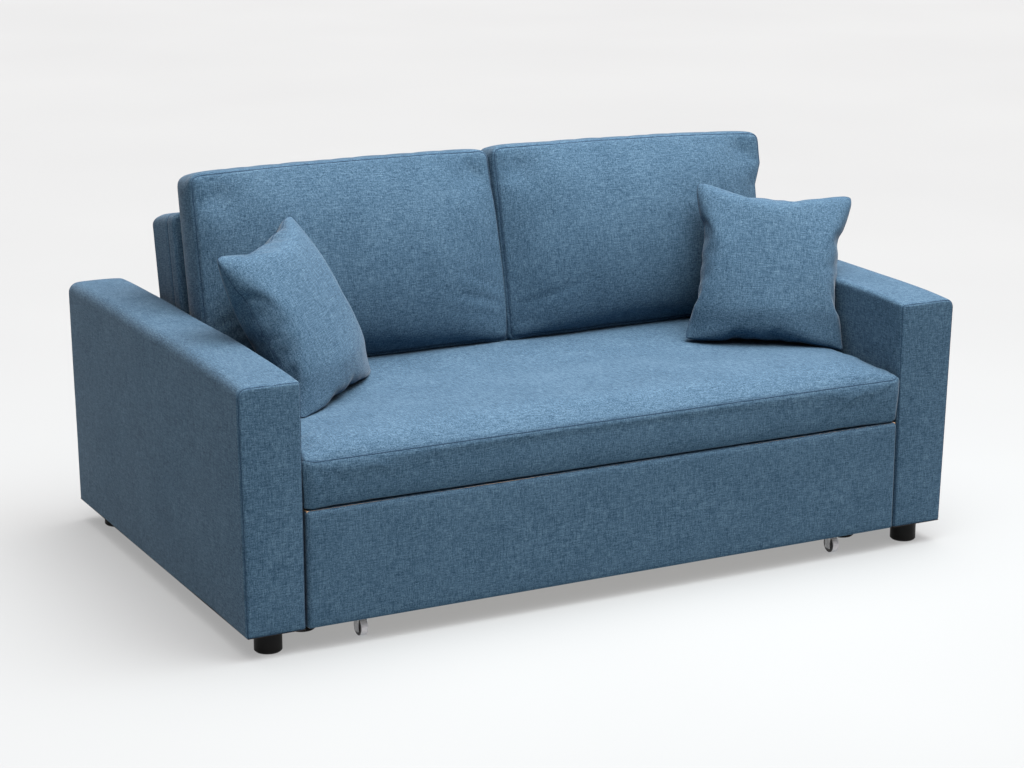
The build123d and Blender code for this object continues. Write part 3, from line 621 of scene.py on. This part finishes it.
def finish_cad_nodes():
    """Give every CAD node its slot's material, with wood grain along its longest side."""
    grains = {}
    for part in frame["record"]["subparts"]:
        slot, name = part["material_slot"], part["node"]
        material = PLAIN.get(slot)
        if slot in WOODS:
            low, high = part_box(name)
            axis = max(range(3), key=lambda k: high[k] - low[k])
            if (slot, axis) not in grains:
                dark, light, roughness = WOODS[slot]
                grains[slot, axis] = grained(f"{slot}_{'xyz'[axis]}", dark, light, axis, roughness)
            material = grains[slot, axis]
        node = frame["nodes"][name]
        node.data.materials.clear()
        node.data.materials.append(material)


# --- Padded pieces ----------------------------------------------------------


# How firmly each padded piece is filled.
FILLS = {
    "arm": 0.85,
    "seat": 0.8,
    "backrest": 0.85,
    "back_cushion": 0.75,
    "pillow": 0.7,
    "panel": 0.9,
    "mattress": 0.9,
}


def dress(piece, body, fill, *nodes):
    """Cover a finished piece in the weave, hang it on its body and hide the CAD nodes it replaces."""
    piece.data.materials.clear()
    piece.data.materials.append(WEAVE)
    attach(piece, body)
    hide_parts(*nodes)


# Arms: edge radii, then how the top sinks along its front edge, rises behind it and drops at
# the rear, and how far the outer face leans out at its top.
ARM_INNER_ROUND = 0.010
ARM_OUTER_ROUND = 0.022
ARM_FOOT_ROUND = 0.006
ARM_FRONT_ROUND = 0.006
ARM_REAR_ROUND = 0.014
ARM_SINK = 0.006
ARM_CROWN = 0.014
ARM_FRONT_REACH = 0.12
ARM_REAR_DROP = 0.009
ARM_FLARE = {"left": 0.008, "right": 0.015}
ARM_TOP_FADE = 0.12
ARM_TOP_POWER = 1.5
ARM_CROWN_SHARES = (0.7, 0.3)
ARM_HALF_WIDTH = 0.06
ARM_BASE_RELIEF = 0.0035


def low_inner(low, high):
    """How far out the inner face of an arm stands."""
    return min(abs(low[0]), abs(high[0]))


def arm(side):
    """A padded arm: crowned along its top, with a flat facing sewn to its front."""
    low, high = box_in(f"arm_cover_{side}", UPRIGHT)
    tops = (ARM_INNER_ROUND, ARM_OUTER_ROUND)
    if side == "left":
        tops = tops[::-1]
    corners = [[ARM_FOOT_ROUND, tops[0]], [ARM_FOOT_ROUND, tops[1]]]
    points, faces = soft_box(low, high, 1, corners, (ARM_FRONT_ROUND, ARM_REAR_ROUND))
    near_top = np.clip(1 - (high[2] - points[:, 2]) / ARM_TOP_FADE, 0, 1) ** ARM_TOP_POWER
    from_front = 1 - np.exp(-(points[:, 1] - low[1]) / ARM_FRONT_REACH)
    from_rear = np.exp(-(high[1] - points[:, 1]) / ARM_FRONT_REACH)
    crosswise = away_from_edges(points, low, high, [0], reach=0.02)
    even, middle = ARM_CROWN_SHARES
    crown = ARM_CROWN * from_front * (even + middle * crosswise) - ARM_REAR_DROP * from_rear
    points[:, 2] += near_top * (crown - ARM_SINK)
    outward = -1 if side == "left" else 1
    outer_share = np.clip((outward * points[:, 0] - low_inner(low, high)) / (high[0] - low[0]), 0, 1)
    height = (points[:, 2] - low[2]) / (high[2] - low[2])
    points[:, 0] += outward * ARM_FLARE[side] * height * outer_share
    bulge(points, low, high, 0, outward, amount=0.004, reach=0.10, fade=0.03)
    bulge(points, low, high, 1, -1, amount=0.003, reach=0.03, fade=0.01)
    inside_base = away_from_edges(points, low, high, [0, 1], reach=0.004) > 0.95
    points[:, 2] += np.where(inside_base & (points[:, 2] < low[2] + 0.002), ARM_BASE_RELIEF, 0)
    waves = ripple(points, size=0.35, amount=0.0012, seed=11 if side == "left" else 12)
    points += waves[:, None] * [0.6, 0.3, 0.6]
    piece = new_piece(f"arm_{side}", points, faces)
    refine(piece)
    inset = ARM_FRONT_ROUND * 0.3
    facing = outline_path(low, high, 1, corners, low[1] + inset, inset)
    facing[:, 2] -= np.where(facing[:, 2] > high[2] - ARM_TOP_FADE, ARM_SINK * 0.8, 0)
    at_outside = outward * facing[:, 0] > low_inner(low, high) + ARM_HALF_WIDTH
    flare = outward * ARM_FLARE[side] * (facing[:, 2] - low[2]) / (high[2] - low[2])
    facing[:, 0] += flare * at_outside
    sew(piece, "base", f"arm_seam_{side}", [(facing, True)], depth=0.0016, width=0.003)
    nodes = [f"arm_cover_{side}"] + (["arm_padding"] if side == "left" else [])
    dress(piece, "base", FILLS["arm"], *nodes)
    return piece


# Seat: its outline's corners and edges, the lip that curves up from the front seam, and the
# crown of its top.
SEAT_CORNER = 0.026
SEAT_REAR_CORNER = 0.012
SEAT_EDGE_ROUNDS = (0.004, 0.008)
SEAT_SEAM_DROP = 0.024
SEAT_START_GAP = 0.002
SEAT_OVERHANG = 0.012
SEAT_LIP = 0.12
SEAT_LEVEL = 0.002
SEAT_CROWN = 0.006
SEAT_CROWN_SHARES = (0.55, 0.45)
SEAT_REAR_RISE = 0.012
SEAT_REAR_FROM = 0.30
SEAT_REAR_REACH = 0.25
SEAT_SWELL = {"pressure": 3.0, "cap": 0.008, "voxel": 0.008, "held_width": 0.012, "growth": 0.004}


def seat():
    """The seat cushion: a thick front edge under a softly crowned top."""
    low, high = box_in("seat_cover", UPRIGHT)
    level = low[2] - SEAT_LEVEL
    low, high = low + SEAT_START_GAP, high - SEAT_START_GAP
    low[2] = level
    edge = high[2] - SEAT_SEAM_DROP
    corners = [[SEAT_CORNER, SEAT_REAR_CORNER], [SEAT_CORNER, SEAT_REAR_CORNER]]
    top = [high[0], high[1], edge]
    points, faces = soft_box(low, top, 2, corners, SEAT_EDGE_ROUNDS, fine=0.004, coarse=0.02)
    bulge(points, low, top, 1, -1, amount=0.010, reach=0.02, fade=0.08)
    proud = np.clip((SEAT_OVERHANG * 2 + low[1] - points[:, 1]) / SEAT_OVERHANG, 0, 1)
    points[:, 0] += np.sign(points[:, 0]) * SEAT_OVERHANG * proud * (np.abs(points[:, 0]) > high[0] / 2)
    sides = away_from_edges(points, low, high, [0], reach=0.07)
    front = np.sqrt(1 - (1 - np.clip((points[:, 1] - low[1]) / SEAT_LIP, 0, 1)) ** 2)
    even, middle = SEAT_CROWN_SHARES
    crown = (SEAT_SEAM_DROP + SEAT_CROWN) * front * (even + middle * sides)
    rear = np.clip((points[:, 1] - low[1] - SEAT_REAR_FROM) / SEAT_REAR_REACH, 0, 1)
    crown += SEAT_REAR_RISE * rear**2 * sides
    share = np.clip((points[:, 2] - low[2]) / (edge - low[2]), 0, 1) ** 3
    points[:, 2] += share * crown
    piece = new_piece("seat_cushion", points, faces)
    front_seam = outline_path(low, high, 2, corners, edge, inset=0.001)
    front_seam = front_seam[front_seam[:, 1] < low[1] + SEAT_LIP]
    order = np.argsort(front_seam[:, 0], kind="stable")
    front_seam = front_seam[order]
    inflate(piece, held=front_seam, **SEAT_SWELL)
    refine(piece)
    points = points_of(piece)
    waves = ripple(points, size=0.30, amount=0.0015, seed=3)
    points[:, 2] += waves * np.clip((points[:, 2] - edge + 0.02) / 0.03, 0, 1)
    points[:, 2] = np.maximum(points[:, 2], level)
    move_points(piece, points)
    sew(piece, "base", "seat_seam", [(front_seam, False)], depth=0.0008, width=0.003)
    dress(piece, "base", FILLS["seat"], "seat_cover", "seat_filling")
    return piece


# Backrest: radii of its rear edge at the top and the sides, its front edge and its outline.
BACK_TOP_ROUND = 0.045
BACK_SIDE_ROUND = 0.009
BACK_FRONT_ROUND = 0.010
BACK_OUTLINE = [[0.008, 0.022], [0.008, 0.022]]
BACK_SEAM_IN = 0.045


def backrest():
    """The reclining backrest behind the cushions, with a boxing seam round it."""
    low, high = box_in("backrest_cover", LEANED)

    def rear_round(outward):
        """The rear edge's radius, by which way the edge faces."""
        return BACK_SIDE_ROUND + (BACK_TOP_ROUND - BACK_SIDE_ROUND) * np.maximum(outward[:, 1], 0) ** 2

    points, faces = soft_box(low, high, 1, BACK_OUTLINE, (BACK_FRONT_ROUND, rear_round))
    bulge(points, low, high, 1, -1, amount=0.002, reach=0.05, fade=0.03)
    bulge(points, low, high, 1, 1, amount=0.006, reach=0.10)
    bulge(points, low, high, 2, 1, amount=0.004, reach=0.06)
    points += ripple(points, size=0.3, amount=0.0012, seed=21)[:, None] * [0.2, 0.6, 0.6]
    piece = new_piece("backrest", points, faces, LEANED)
    refine(piece)
    seam = outline_path(low, high, 1, BACK_OUTLINE, low[1] + BACK_SEAM_IN)
    sew(piece, "backrest", "backrest_seam", [(seam, True)])
    cut_hinge_pockets(piece, low, high)
    dress(piece, "backrest", FILLS["backrest"], "backrest_cover", "backrest_filling")
    return piece


POCKET_MARGIN = 0.004
POCKET_PAST_END = 0.01
SHARP_ANGLE = math.radians(50)


def cut_hinge_pockets(piece, low, high):
    """Room in both ends for the hinge plates and brackets."""
    plates = box_in("hinge_plates", LEANED)
    pocket = plates[1][0] - POCKET_MARGIN
    near = (plates[0][1] - POCKET_MARGIN, low[2] - POCKET_MARGIN)
    spaces = [
        (near, (plates[1][1] + POCKET_MARGIN, plates[1][2] + POCKET_MARGIN)),
        (near, (high[1] + POCKET_MARGIN * 5, plates[1][1] + POCKET_MARGIN)),
    ]
    for side in (-1, 1):
        for (y0, z0), (y1, z1) in spaces:
            x0, x1 = sorted((side * pocket, side * (high[0] + POCKET_PAST_END)))
            points, faces = box_surface([np.array(line) for line in ((x0, x1), (y0, y1), (z0, z1))])
            cutter = new_piece("cutter", points, faces, LEANED)
            cut = piece.modifiers.new("Cut", "BOOLEAN")
            cut.operation = "DIFFERENCE"
            cut.object = cutter
            cut.solver = "EXACT"
            bpy.context.view_layer.update()
            apply_modifiers(piece)
            bpy.data.objects.remove(cutter)
    piece.data.set_sharp_from_angle(angle=SHARP_ANGLE)


# Back cushions: the boxed shape, the crown and belly of its faces, how the foot tucks in, the
# dimples by the upper corners, and how each stands on the seat.
CUSHION_ROUND = 0.020
CUSHION_SEAM_ROUND = 0.006
CUSHION_GROWTH = np.array([0.005, 0.0, 0.004])
CUSHION_BOXING = 0.050
CUSHION_CROWN = 1.2
CUSHION_REACH = 0.085
CUSHION_BELLY = 0.026
CUSHION_BELLY_AT = 0.9
CUSHION_TUCK = 0.022
CUSHION_TUCK_REACH = 0.07
CUSHION_STEP = 0.006
CUSHION_LEAN = 0.010
CUSHION_RISE = 0.004
CUSHION_SPREAD = 0.004
CUSHION_WAIST = 0.009
CUSHION_SHOULDER = 0.019
CUSHION_SHOULDER_FROM = 0.70
CUSHION_SHOULDER_REACH = 0.12
CUSHION_END_DROP = 0.012
CUSHION_SETTLED = 0.003
CUSHION_DIMPLE = 0.017
CUSHION_DIMPLE_IN = 0.055
CUSHION_DIMPLE_SIZE = 0.034
CUSHION_SOFTENING = 8
CUSHION_SWELL = {"pressure": 4.0, "cap": 0.009, "voxel": 0.007, "held_width": 0.012, "growth": 0.006}


def back_cushion(side):
    """A loose back cushion: boxed sides, crowned faces and a seam round each face."""
    low, high = box_in(f"back_cushion_{side}_cover", LEANED)
    middle = (low[1] + high[1]) / 2
    crown = (high[1] - low[1]) / 2 - CUSHION_BOXING
    flat_low = np.array([low[0], middle - CUSHION_BOXING, low[2]]) - CUSHION_GROWTH
    flat_high = np.array([high[0], middle + CUSHION_BOXING, high[2]]) + CUSHION_GROWTH
    corners = [[CUSHION_ROUND] * 2] * 2
    ends = (CUSHION_SEAM_ROUND, CUSHION_SEAM_ROUND)
    points, faces = soft_box(flat_low, flat_high, 1, corners, ends, fine=0.004, coarse=0.016)
    for sign in (-1, 1):
        bulge(points, flat_low, flat_high, 1, sign, crown * CUSHION_CROWN, CUSHION_REACH, fade=0.04)
    front = points[:, 1] < middle
    for x in (low[0] + CUSHION_DIMPLE_IN, high[0] - CUSHION_DIMPLE_IN):
        away = (points[:, 0] - x) ** 2 + (points[:, 2] - high[2] + CUSHION_DIMPLE_IN) ** 2
        points[:, 1] += CUSHION_DIMPLE * np.exp(-away / (2 * CUSHION_DIMPLE_SIZE**2)) * front
    belly = away_from_edges(points, flat_low, flat_high, [0], CUSHION_REACH * 1.5)
    belly *= 1 - (2 * (points[:, 2] - low[2]) / (high[2] - low[2]) - CUSHION_BELLY_AT) ** 2
    points[:, 1] -= CUSHION_BELLY * np.clip(belly, 0, 1) * front
    tucked = np.exp(-np.maximum(points[:, 2] - low[2], 0) / CUSHION_TUCK_REACH)
    points[:, 1] += CUSHION_TUCK * tucked * front
    for axis in (0, 2):
        for sign in (-1, 1):
            bulge(points, flat_low, flat_high, axis, sign, amount=0.004, reach=0.03, fade=0.03)
    paths = []
    for at in (flat_low[1] + 0.002, flat_high[1] - 0.002):
        paths.append(outline_path(flat_low, flat_high, 1, corners, at, inset=0.001))
    piece = new_piece(f"back_cushion_{side}", points, faces, LEANED)
    inflate(piece, held=np.concatenate(paths), **CUSHION_SWELL)
    soften(piece, CUSHION_SOFTENING)
    refine(piece)
    move_points(piece, settle_cushion(points_of(piece), side, low, high))
    paths = [settle_cushion(path, side, low, high) for path in paths]
    body = f"back_cushion_{side}"
    sew(piece, body, f"back_cushion_seam_{side}", [(path, True) for path in paths])
    dress(piece, body, FILLS["back_cushion"], f"{body}_cover", f"{body}_filling")
    return piece


def settle_cushion(points, side, low, high):
    """Sag and lean of a cushion that stands on the seat against the backrest."""
    points = points.copy()
    across = (points[:, 0] - low[0]) / (high[0] - low[0])
    up = (points[:, 2] - low[2]) / (high[2] - low[2])
    if side == "left":
        points[:, 1] += CUSHION_STEP * up * across**2
        points[:, 0] += CUSHION_LEAN * (1 - 2 * up) * across**4
        points[:, 2] += CUSHION_RISE * up * np.sin(across * math.pi)
    else:
        points[:, 1] -= 1.5 * CUSHION_STEP * (1 - across) ** 2
        points[:, 0] += CUSHION_SPREAD * (1 - up) * (1 - across) ** 4
        above_arm = np.clip((up - CUSHION_SHOULDER_FROM) / CUSHION_SHOULDER_REACH, 0, 1)
        points[:, 0] += (CUSHION_SHOULDER * above_arm - CUSHION_WAIST) * across**4
        points[:, 2] += up**3 * (CUSHION_RISE * (1 - across) - CUSHION_END_DROP * across**3)
    points[:, 2] -= CUSHION_SETTLED * up**3
    waves = ripple(points, size=0.22, amount=0.0016, seed=31 if side == "left" else 32)
    return points + waves[:, None] * [0.2, 1.0, 0.4]


# Throw pillows: the side of each flat square of cloth, the filled size, where each lies beside
# its CAD node, and how the edges fill out and sag.
PILLOW_CLOTH = 0.405
PILLOW_SPANS = {"left": 0.390, "right": 0.376}
PILLOW_THICK = 0.138
PILLOW_SHIFTS = {"left": (-0.006, 0.0, 0.0), "right": (0.015, 0.022, -0.003)}
PILLOW_CORNER = 0.022
PILLOW_EDGE_FILL = 0.028
PILLOW_SAG = 0.024
PILLOW_START = (0.0012, 0.030)
PILLOW_PRESSURE = 5.0
PILLOW_CAP = 0.09
PILLOW_SOFTENING = (4, 10)
PILLOW_STEPS = 73
PILLOW_RIM_STEPS = 420


def pillow_place(side):
    """The axes of a throw pillow: along its bottom edge, up its face and out of it."""
    yaw, tilt, roll = [math.radians(angle) for angle in PILLOW_TURNS[side]]
    along = Vector((math.cos(yaw), math.sin(yaw), 0))
    back = Vector((-math.sin(yaw), math.cos(yaw), 0))
    upward = back * math.sin(tilt) + Vector((0, 0, 1)) * math.cos(tilt)
    facing = along.cross(upward)
    low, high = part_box(f"pillow_{side}")
    turn = Matrix((along, upward, facing)).transposed().to_4x4()
    middle = Matrix.Translation((low + high) / 2 + Vector(PILLOW_SHIFTS[side]))
    return middle @ turn @ Matrix.Rotation(roll, 4, "Z")


def pillow(side, neighbours):
    """A throw pillow: two squares of cloth sewn edge to edge and filled."""
    line = np.linspace(-PILLOW_CLOTH / 2, PILLOW_CLOTH / 2, PILLOW_STEPS)
    points, faces = box_surface([line, line, np.array([-1.0, 1.0])])
    core = np.clip(points[:, :2], PILLOW_CORNER - PILLOW_CLOTH / 2, PILLOW_CLOTH / 2 - PILLOW_CORNER)
    out = points[:, :2] - core
    length = np.maximum(np.linalg.norm(out, axis=1, keepdims=True), 1e-9)
    points[:, :2] = core + out * np.abs(out).max(axis=1, keepdims=True) / length
    inner = (1 - (2 * points[:, 0] / PILLOW_CLOTH) ** 2) * (1 - (2 * points[:, 1] / PILLOW_CLOTH) ** 2)
    edge, loft = PILLOW_START
    points[:, 2] *= edge + loft * np.sqrt(np.maximum(inner, 0))
    piece = new_piece(f"throw_pillow_{side}", points, faces)
    inflate(piece, pressure=PILLOW_PRESSURE, cap=PILLOW_CAP)
    soften(piece, PILLOW_SOFTENING[0])
    points = points_of(piece)
    size = points.max(axis=0) - points.min(axis=0)
    filled = np.array([PILLOW_SPANS[side], PILLOW_SPANS[side], PILLOW_THICK])
    points *= filled / size
    share = 2 * points / filled
    points[:, 0] *= 1 + PILLOW_EDGE_FILL * (1 - share[:, 1] ** 2)
    points[:, 1] *= 1 + PILLOW_EDGE_FILL * (1 - share[:, 0] ** 2)
    points[:, 1] -= PILLOW_SAG * (1 - share[:, 0] ** 2) * np.clip(0.5 - share[:, 1] / 2, 0, 1) ** 3
    move_points(piece, points)
    piece.matrix_world = pillow_place(side)
    settle_on(piece, neighbours[0], share[:, 1], DROOP[side])
    rest_against(piece, neighbours)
    soften(piece, PILLOW_SOFTENING[1])
    refine(piece)
    rest_against(piece, neighbours)
    body = f"pillow_{side}"
    rim = [(rim_path(piece), True)]
    sew(piece, body, f"throw_pillow_seam_{side}", rim, depth=0.0008, width=0.003, thread=0.0008)
    dress(piece, body, FILLS["pillow"], body)
    return piece


def rim_path(piece):
    """The sewn edge of a pillow, found as its outermost points all the way round."""
    points = points_of(piece)
    count = PILLOW_RIM_STEPS
    angles = np.arctan2(points[:, 1], points[:, 0])
    slot = ((angles + math.pi) / (2 * math.pi) * count).astype(int) % count
    distance = np.linalg.norm(points[:, :2], axis=1)
    path = []
    for k in range(count):
        inside = np.flatnonzero(slot == k)
        if len(inside):
            path.append(points[inside[distance[inside].argmax()]])
    path = np.array(path)
    for _ in range(2):
        path = (np.roll(path, 1, axis=0) + 2 * path + np.roll(path, -1, axis=0)) / 4
    return path


# How pillows meet what they lie on: the gap kept, how far away it is looked for, and between
# which heights, as shares of half the pillow, the droop sets in.
CONTACT = 0.0015
CONTACT_REACH = 0.12
DROOP_FROM = 0.25
DROOP_TO = 0.9
DROOP_REACH = 0.08
DROOP = {"left": 0.75, "right": 0.60}


def settle_on(piece, support, heights, droop):
    """Let the lower part of a pillow droop until its bottom edge lies on what is below it."""
    bpy.context.view_layer.update()
    surface = surface_of(support)
    to_support = support.matrix_world.inverted() @ piece.matrix_world
    back = piece.matrix_world.inverted().to_3x3()
    points = points_of(piece)
    weight = np.clip((-heights - DROOP_FROM) / (DROOP_TO - DROOP_FROM), 0, 1) ** 2
    for i in np.flatnonzero(weight > 0):
        place = to_support @ Vector(points[i])
        spot = surface.ray_cast(place, Vector((0, 0, -1)), DROOP_REACH)[0]
        if spot is not None:
            drop = max(place.z - spot.z - CONTACT, 0) * weight[i] * droop
            points[i] += np.array(back @ Vector((0, 0, -drop)))
    move_points(piece, points)


def rest_against(piece, neighbours):
    """Flatten a soft piece where it would cut into its neighbours."""
    bpy.context.view_layer.update()
    to_world = piece.matrix_world.copy()
    from_world = to_world.inverted()
    points = [to_world @ Vector(p) for p in points_of(piece)]
    for other in neighbours:
        surface = surface_of(other)
        there = other.matrix_world.copy()
        back = there.inverted()
        for i, point in enumerate(points):
            local = back @ point
            spot, normal, _, _ = surface.find_nearest(local, CONTACT_REACH)
            if spot is None:
                continue
            height = (local - spot).dot(normal)
            if height < CONTACT:
                points[i] = there @ (spot + normal * CONTACT)
    move_points(piece, np.array([from_world @ p for p in points]))


PANEL_TOP_GAP = 0.0012
PANEL_CORNERS = [[0.006, 0.008], [0.006, 0.008]]
PANEL_EDGE_ROUNDS = (0.010, 0.003)


def panel():
    """The trundle's padded front panel."""
    low, high = box_in("panel_cover", UPRIGHT)
    high[2] -= PANEL_TOP_GAP
    points, faces = soft_box(low, high, 1, PANEL_CORNERS, PANEL_EDGE_ROUNDS)
    bulge(points, low, high, 1, -1, amount=0.003, reach=0.03, fade=0.012)
    points[:, 1] += ripple(points, size=0.3, amount=0.0006, seed=41)
    piece = new_piece("front_panel", points, faces)
    refine(piece)
    dress(piece, "trundle", FILLS["panel"], "panel_cover", "panel_padding")
    return piece


REAR_CORNER = 0.003
REAR_EDGE_ROUNDS = (0.0005, 0.0009)


def rear_cloth():
    """Cloth stretched over the board behind the seat box."""
    low, high = box_in("rear_panel_cover", UPRIGHT)
    corners = [[REAR_CORNER] * 2] * 2
    points, faces = soft_box(low, high, 1, corners, REAR_EDGE_ROUNDS, fine=0.003, coarse=0.02)
    bulge(points, low, high, 1, 1, amount=0.001, reach=0.03, fade=0.002)
    piece = new_piece("rear_panel_cloth", points, faces)
    refine(piece)
    piece.data.materials.append(WEAVE)
    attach(piece, "base")
    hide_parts("rear_panel_cover")
    return piece


MATTRESS_CORNER = 0.025
MATTRESS_TOP = 0.03
MATTRESS_EDGE_ROUND = 0.008
MATTRESS_SEAM_IN = 0.003


def mattress():
    """The trundle mattress: a firm slab with a seam round its top and bottom edges."""
    low, high = box_in("mattress_cover", UPRIGHT)
    corners = [[MATTRESS_CORNER] * 2] * 2
    points, faces = soft_box(low, high, 2, corners, (MATTRESS_EDGE_ROUND,) * 2)
    bulge(points, low, high, 2, 1, amount=0.006, reach=0.05)
    waves = ripple(points, size=0.25, amount=0.001, seed=51)
    points[:, 2] += waves * (points[:, 2] > high[2] - MATTRESS_TOP)
    piece = new_piece("trundle_mattress", points, faces)
    refine(piece)
    edges = (low[2] + MATTRESS_SEAM_IN, high[2] - MATTRESS_SEAM_IN)
    paths = [outline_path(low, high, 2, corners, at, inset=0.002) for at in edges]
    sew(piece, "trundle", "mattress_seam", [(path, True) for path in paths])
    dress(piece, "trundle", FILLS["mattress"], "mattress_cover", "mattress_filling")
    return piece


# --- Studio -----------------------------------------------------------------

CAMERA_AT = Vector((-2.6304, -5.1041, 1.8715))
CAMERA_AZIMUTH = math.radians(-27.44)
CAMERA_ELEVATION = math.radians(14.74)
CAMERA_LENS = 88.35
CAMERA_SENSOR = 36.0


def camera():
    """The camera, looking at the sofa from the front left and a little above. The
    camera, at the angle the sofa is judged from.
    """
    data = bpy.data.cameras.new("camera")
    data.lens = CAMERA_LENS
    data.sensor_width = CAMERA_SENSOR
    data.clip_end = 200
    shot = bpy.data.objects.new("camera", data)
    bpy.context.scene.collection.objects.link(shot)
    level = math.cos(CAMERA_ELEVATION)
    look = Vector(
        (
            -math.sin(CAMERA_AZIMUTH) * level,
            math.cos(CAMERA_AZIMUTH) * level,
            -math.sin(CAMERA_ELEVATION),
        )
    )
    shot.location = CAMERA_AT
    shot.rotation_euler = look.to_track_quat("-Z", "Y").to_euler()
    bpy.context.scene.camera = shot


def area_light(name, place, target, size, power):
    """A soft rectangular lamp that faces a target."""
    data = bpy.data.lights.new(name, "AREA")
    data.shape = "RECTANGLE"
    data.size, data.size_y = size
    data.energy = power
    light = bpy.data.objects.new(name, data)
    bpy.context.scene.collection.objects.link(light)
    light.location = place
    light.rotation_euler = (Vector(target) - Vector(place)).to_track_quat("-Z", "Y").to_euler()


# The dome: where it is brightest, how tightly, how strongly, its even base and its colour.
GLOW_AXIS = (0.20, -0.08, 0.96)
GLOW_POWER = 6.0
GLOW_STRENGTH = 10.0
GLOW_BASE = 0.06
WARM = (1.22, 1.02, 0.97)


def sky():
    """A dome of light that is brightest overhead and a little to the right."""
    world = bpy.data.worlds.new("studio")
    world.use_nodes = True
    tree = world.node_tree
    direction = add(tree, "ShaderNodeTexCoord", {}).outputs["Generated"]
    inputs = {0: direction, 1: Vector(GLOW_AXIS).normalized()}
    facing = add(tree, "ShaderNodeVectorMath", inputs, operation="DOT_PRODUCT").outputs["Value"]
    glow = math_of(tree, "POWER", math_of(tree, "MAXIMUM", facing, 0.0), GLOW_POWER)
    strength = math_of(tree, "ADD", math_of(tree, "MULTIPLY", glow, GLOW_STRENGTH), GLOW_BASE)
    background = tree.nodes["Background"]
    background.inputs["Color"].default_value = (*WARM, 1)
    tree.links.new(strength, background.inputs["Strength"])
    bpy.context.scene.world = world


FLOOR_HALF = 60.0
FLOOR_GLOW = 0.34


def floor():
    """A wide pale studio floor."""
    mesh = bpy.data.meshes.new("studio_floor")
    corners = [(FLOOR_HALF * x, FLOOR_HALF * y, 0) for x, y in ((-1, -1), (1, -1), (1, 1), (-1, 1))]
    mesh.from_pydata(corners, [], [(0, 1, 2, 3)])
    ground = bpy.data.objects.new("studio_floor", mesh)
    bpy.context.scene.collection.objects.link(ground)
    material, tree, surface = shader("studio_floor")
    cloudy = noise(tree, (0.7, 0.7, 0.7))
    stops = [(0.3, (0.163, 0.195, 0.206)), (0.7, (0.172, 0.206, 0.217))]
    tree.links.new(ramp(tree, cloudy, stops), surface.inputs["Base Color"])
    surface.inputs["Roughness"].default_value = 0.9
    surface.inputs["Specular IOR Level"].default_value = 0.1
    surface.inputs["Emission Color"].default_value = (1, 1, 1, 1)
    surface.inputs["Emission Strength"].default_value = FLOOR_GLOW
    mesh.materials.append(material)


finish_cad_nodes()
arms = {side: arm(side) for side in SIDES}
cushion = seat()
backrest()
backs = {side: back_cushion(side) for side in SIDES}
for side in SIDES:
    pillow(side, [cushion, backs[side], arms[side]])
panel()
rear_cloth()
mattress()

camera()
sky()
area_light("softbox", place=(0.4, -0.8, 2.5), target=(0.0, 0.0, 0.6), size=(2.0, 1.0), power=50)
floor()
bpy.context.scene.view_settings.view_transform = "Standard"
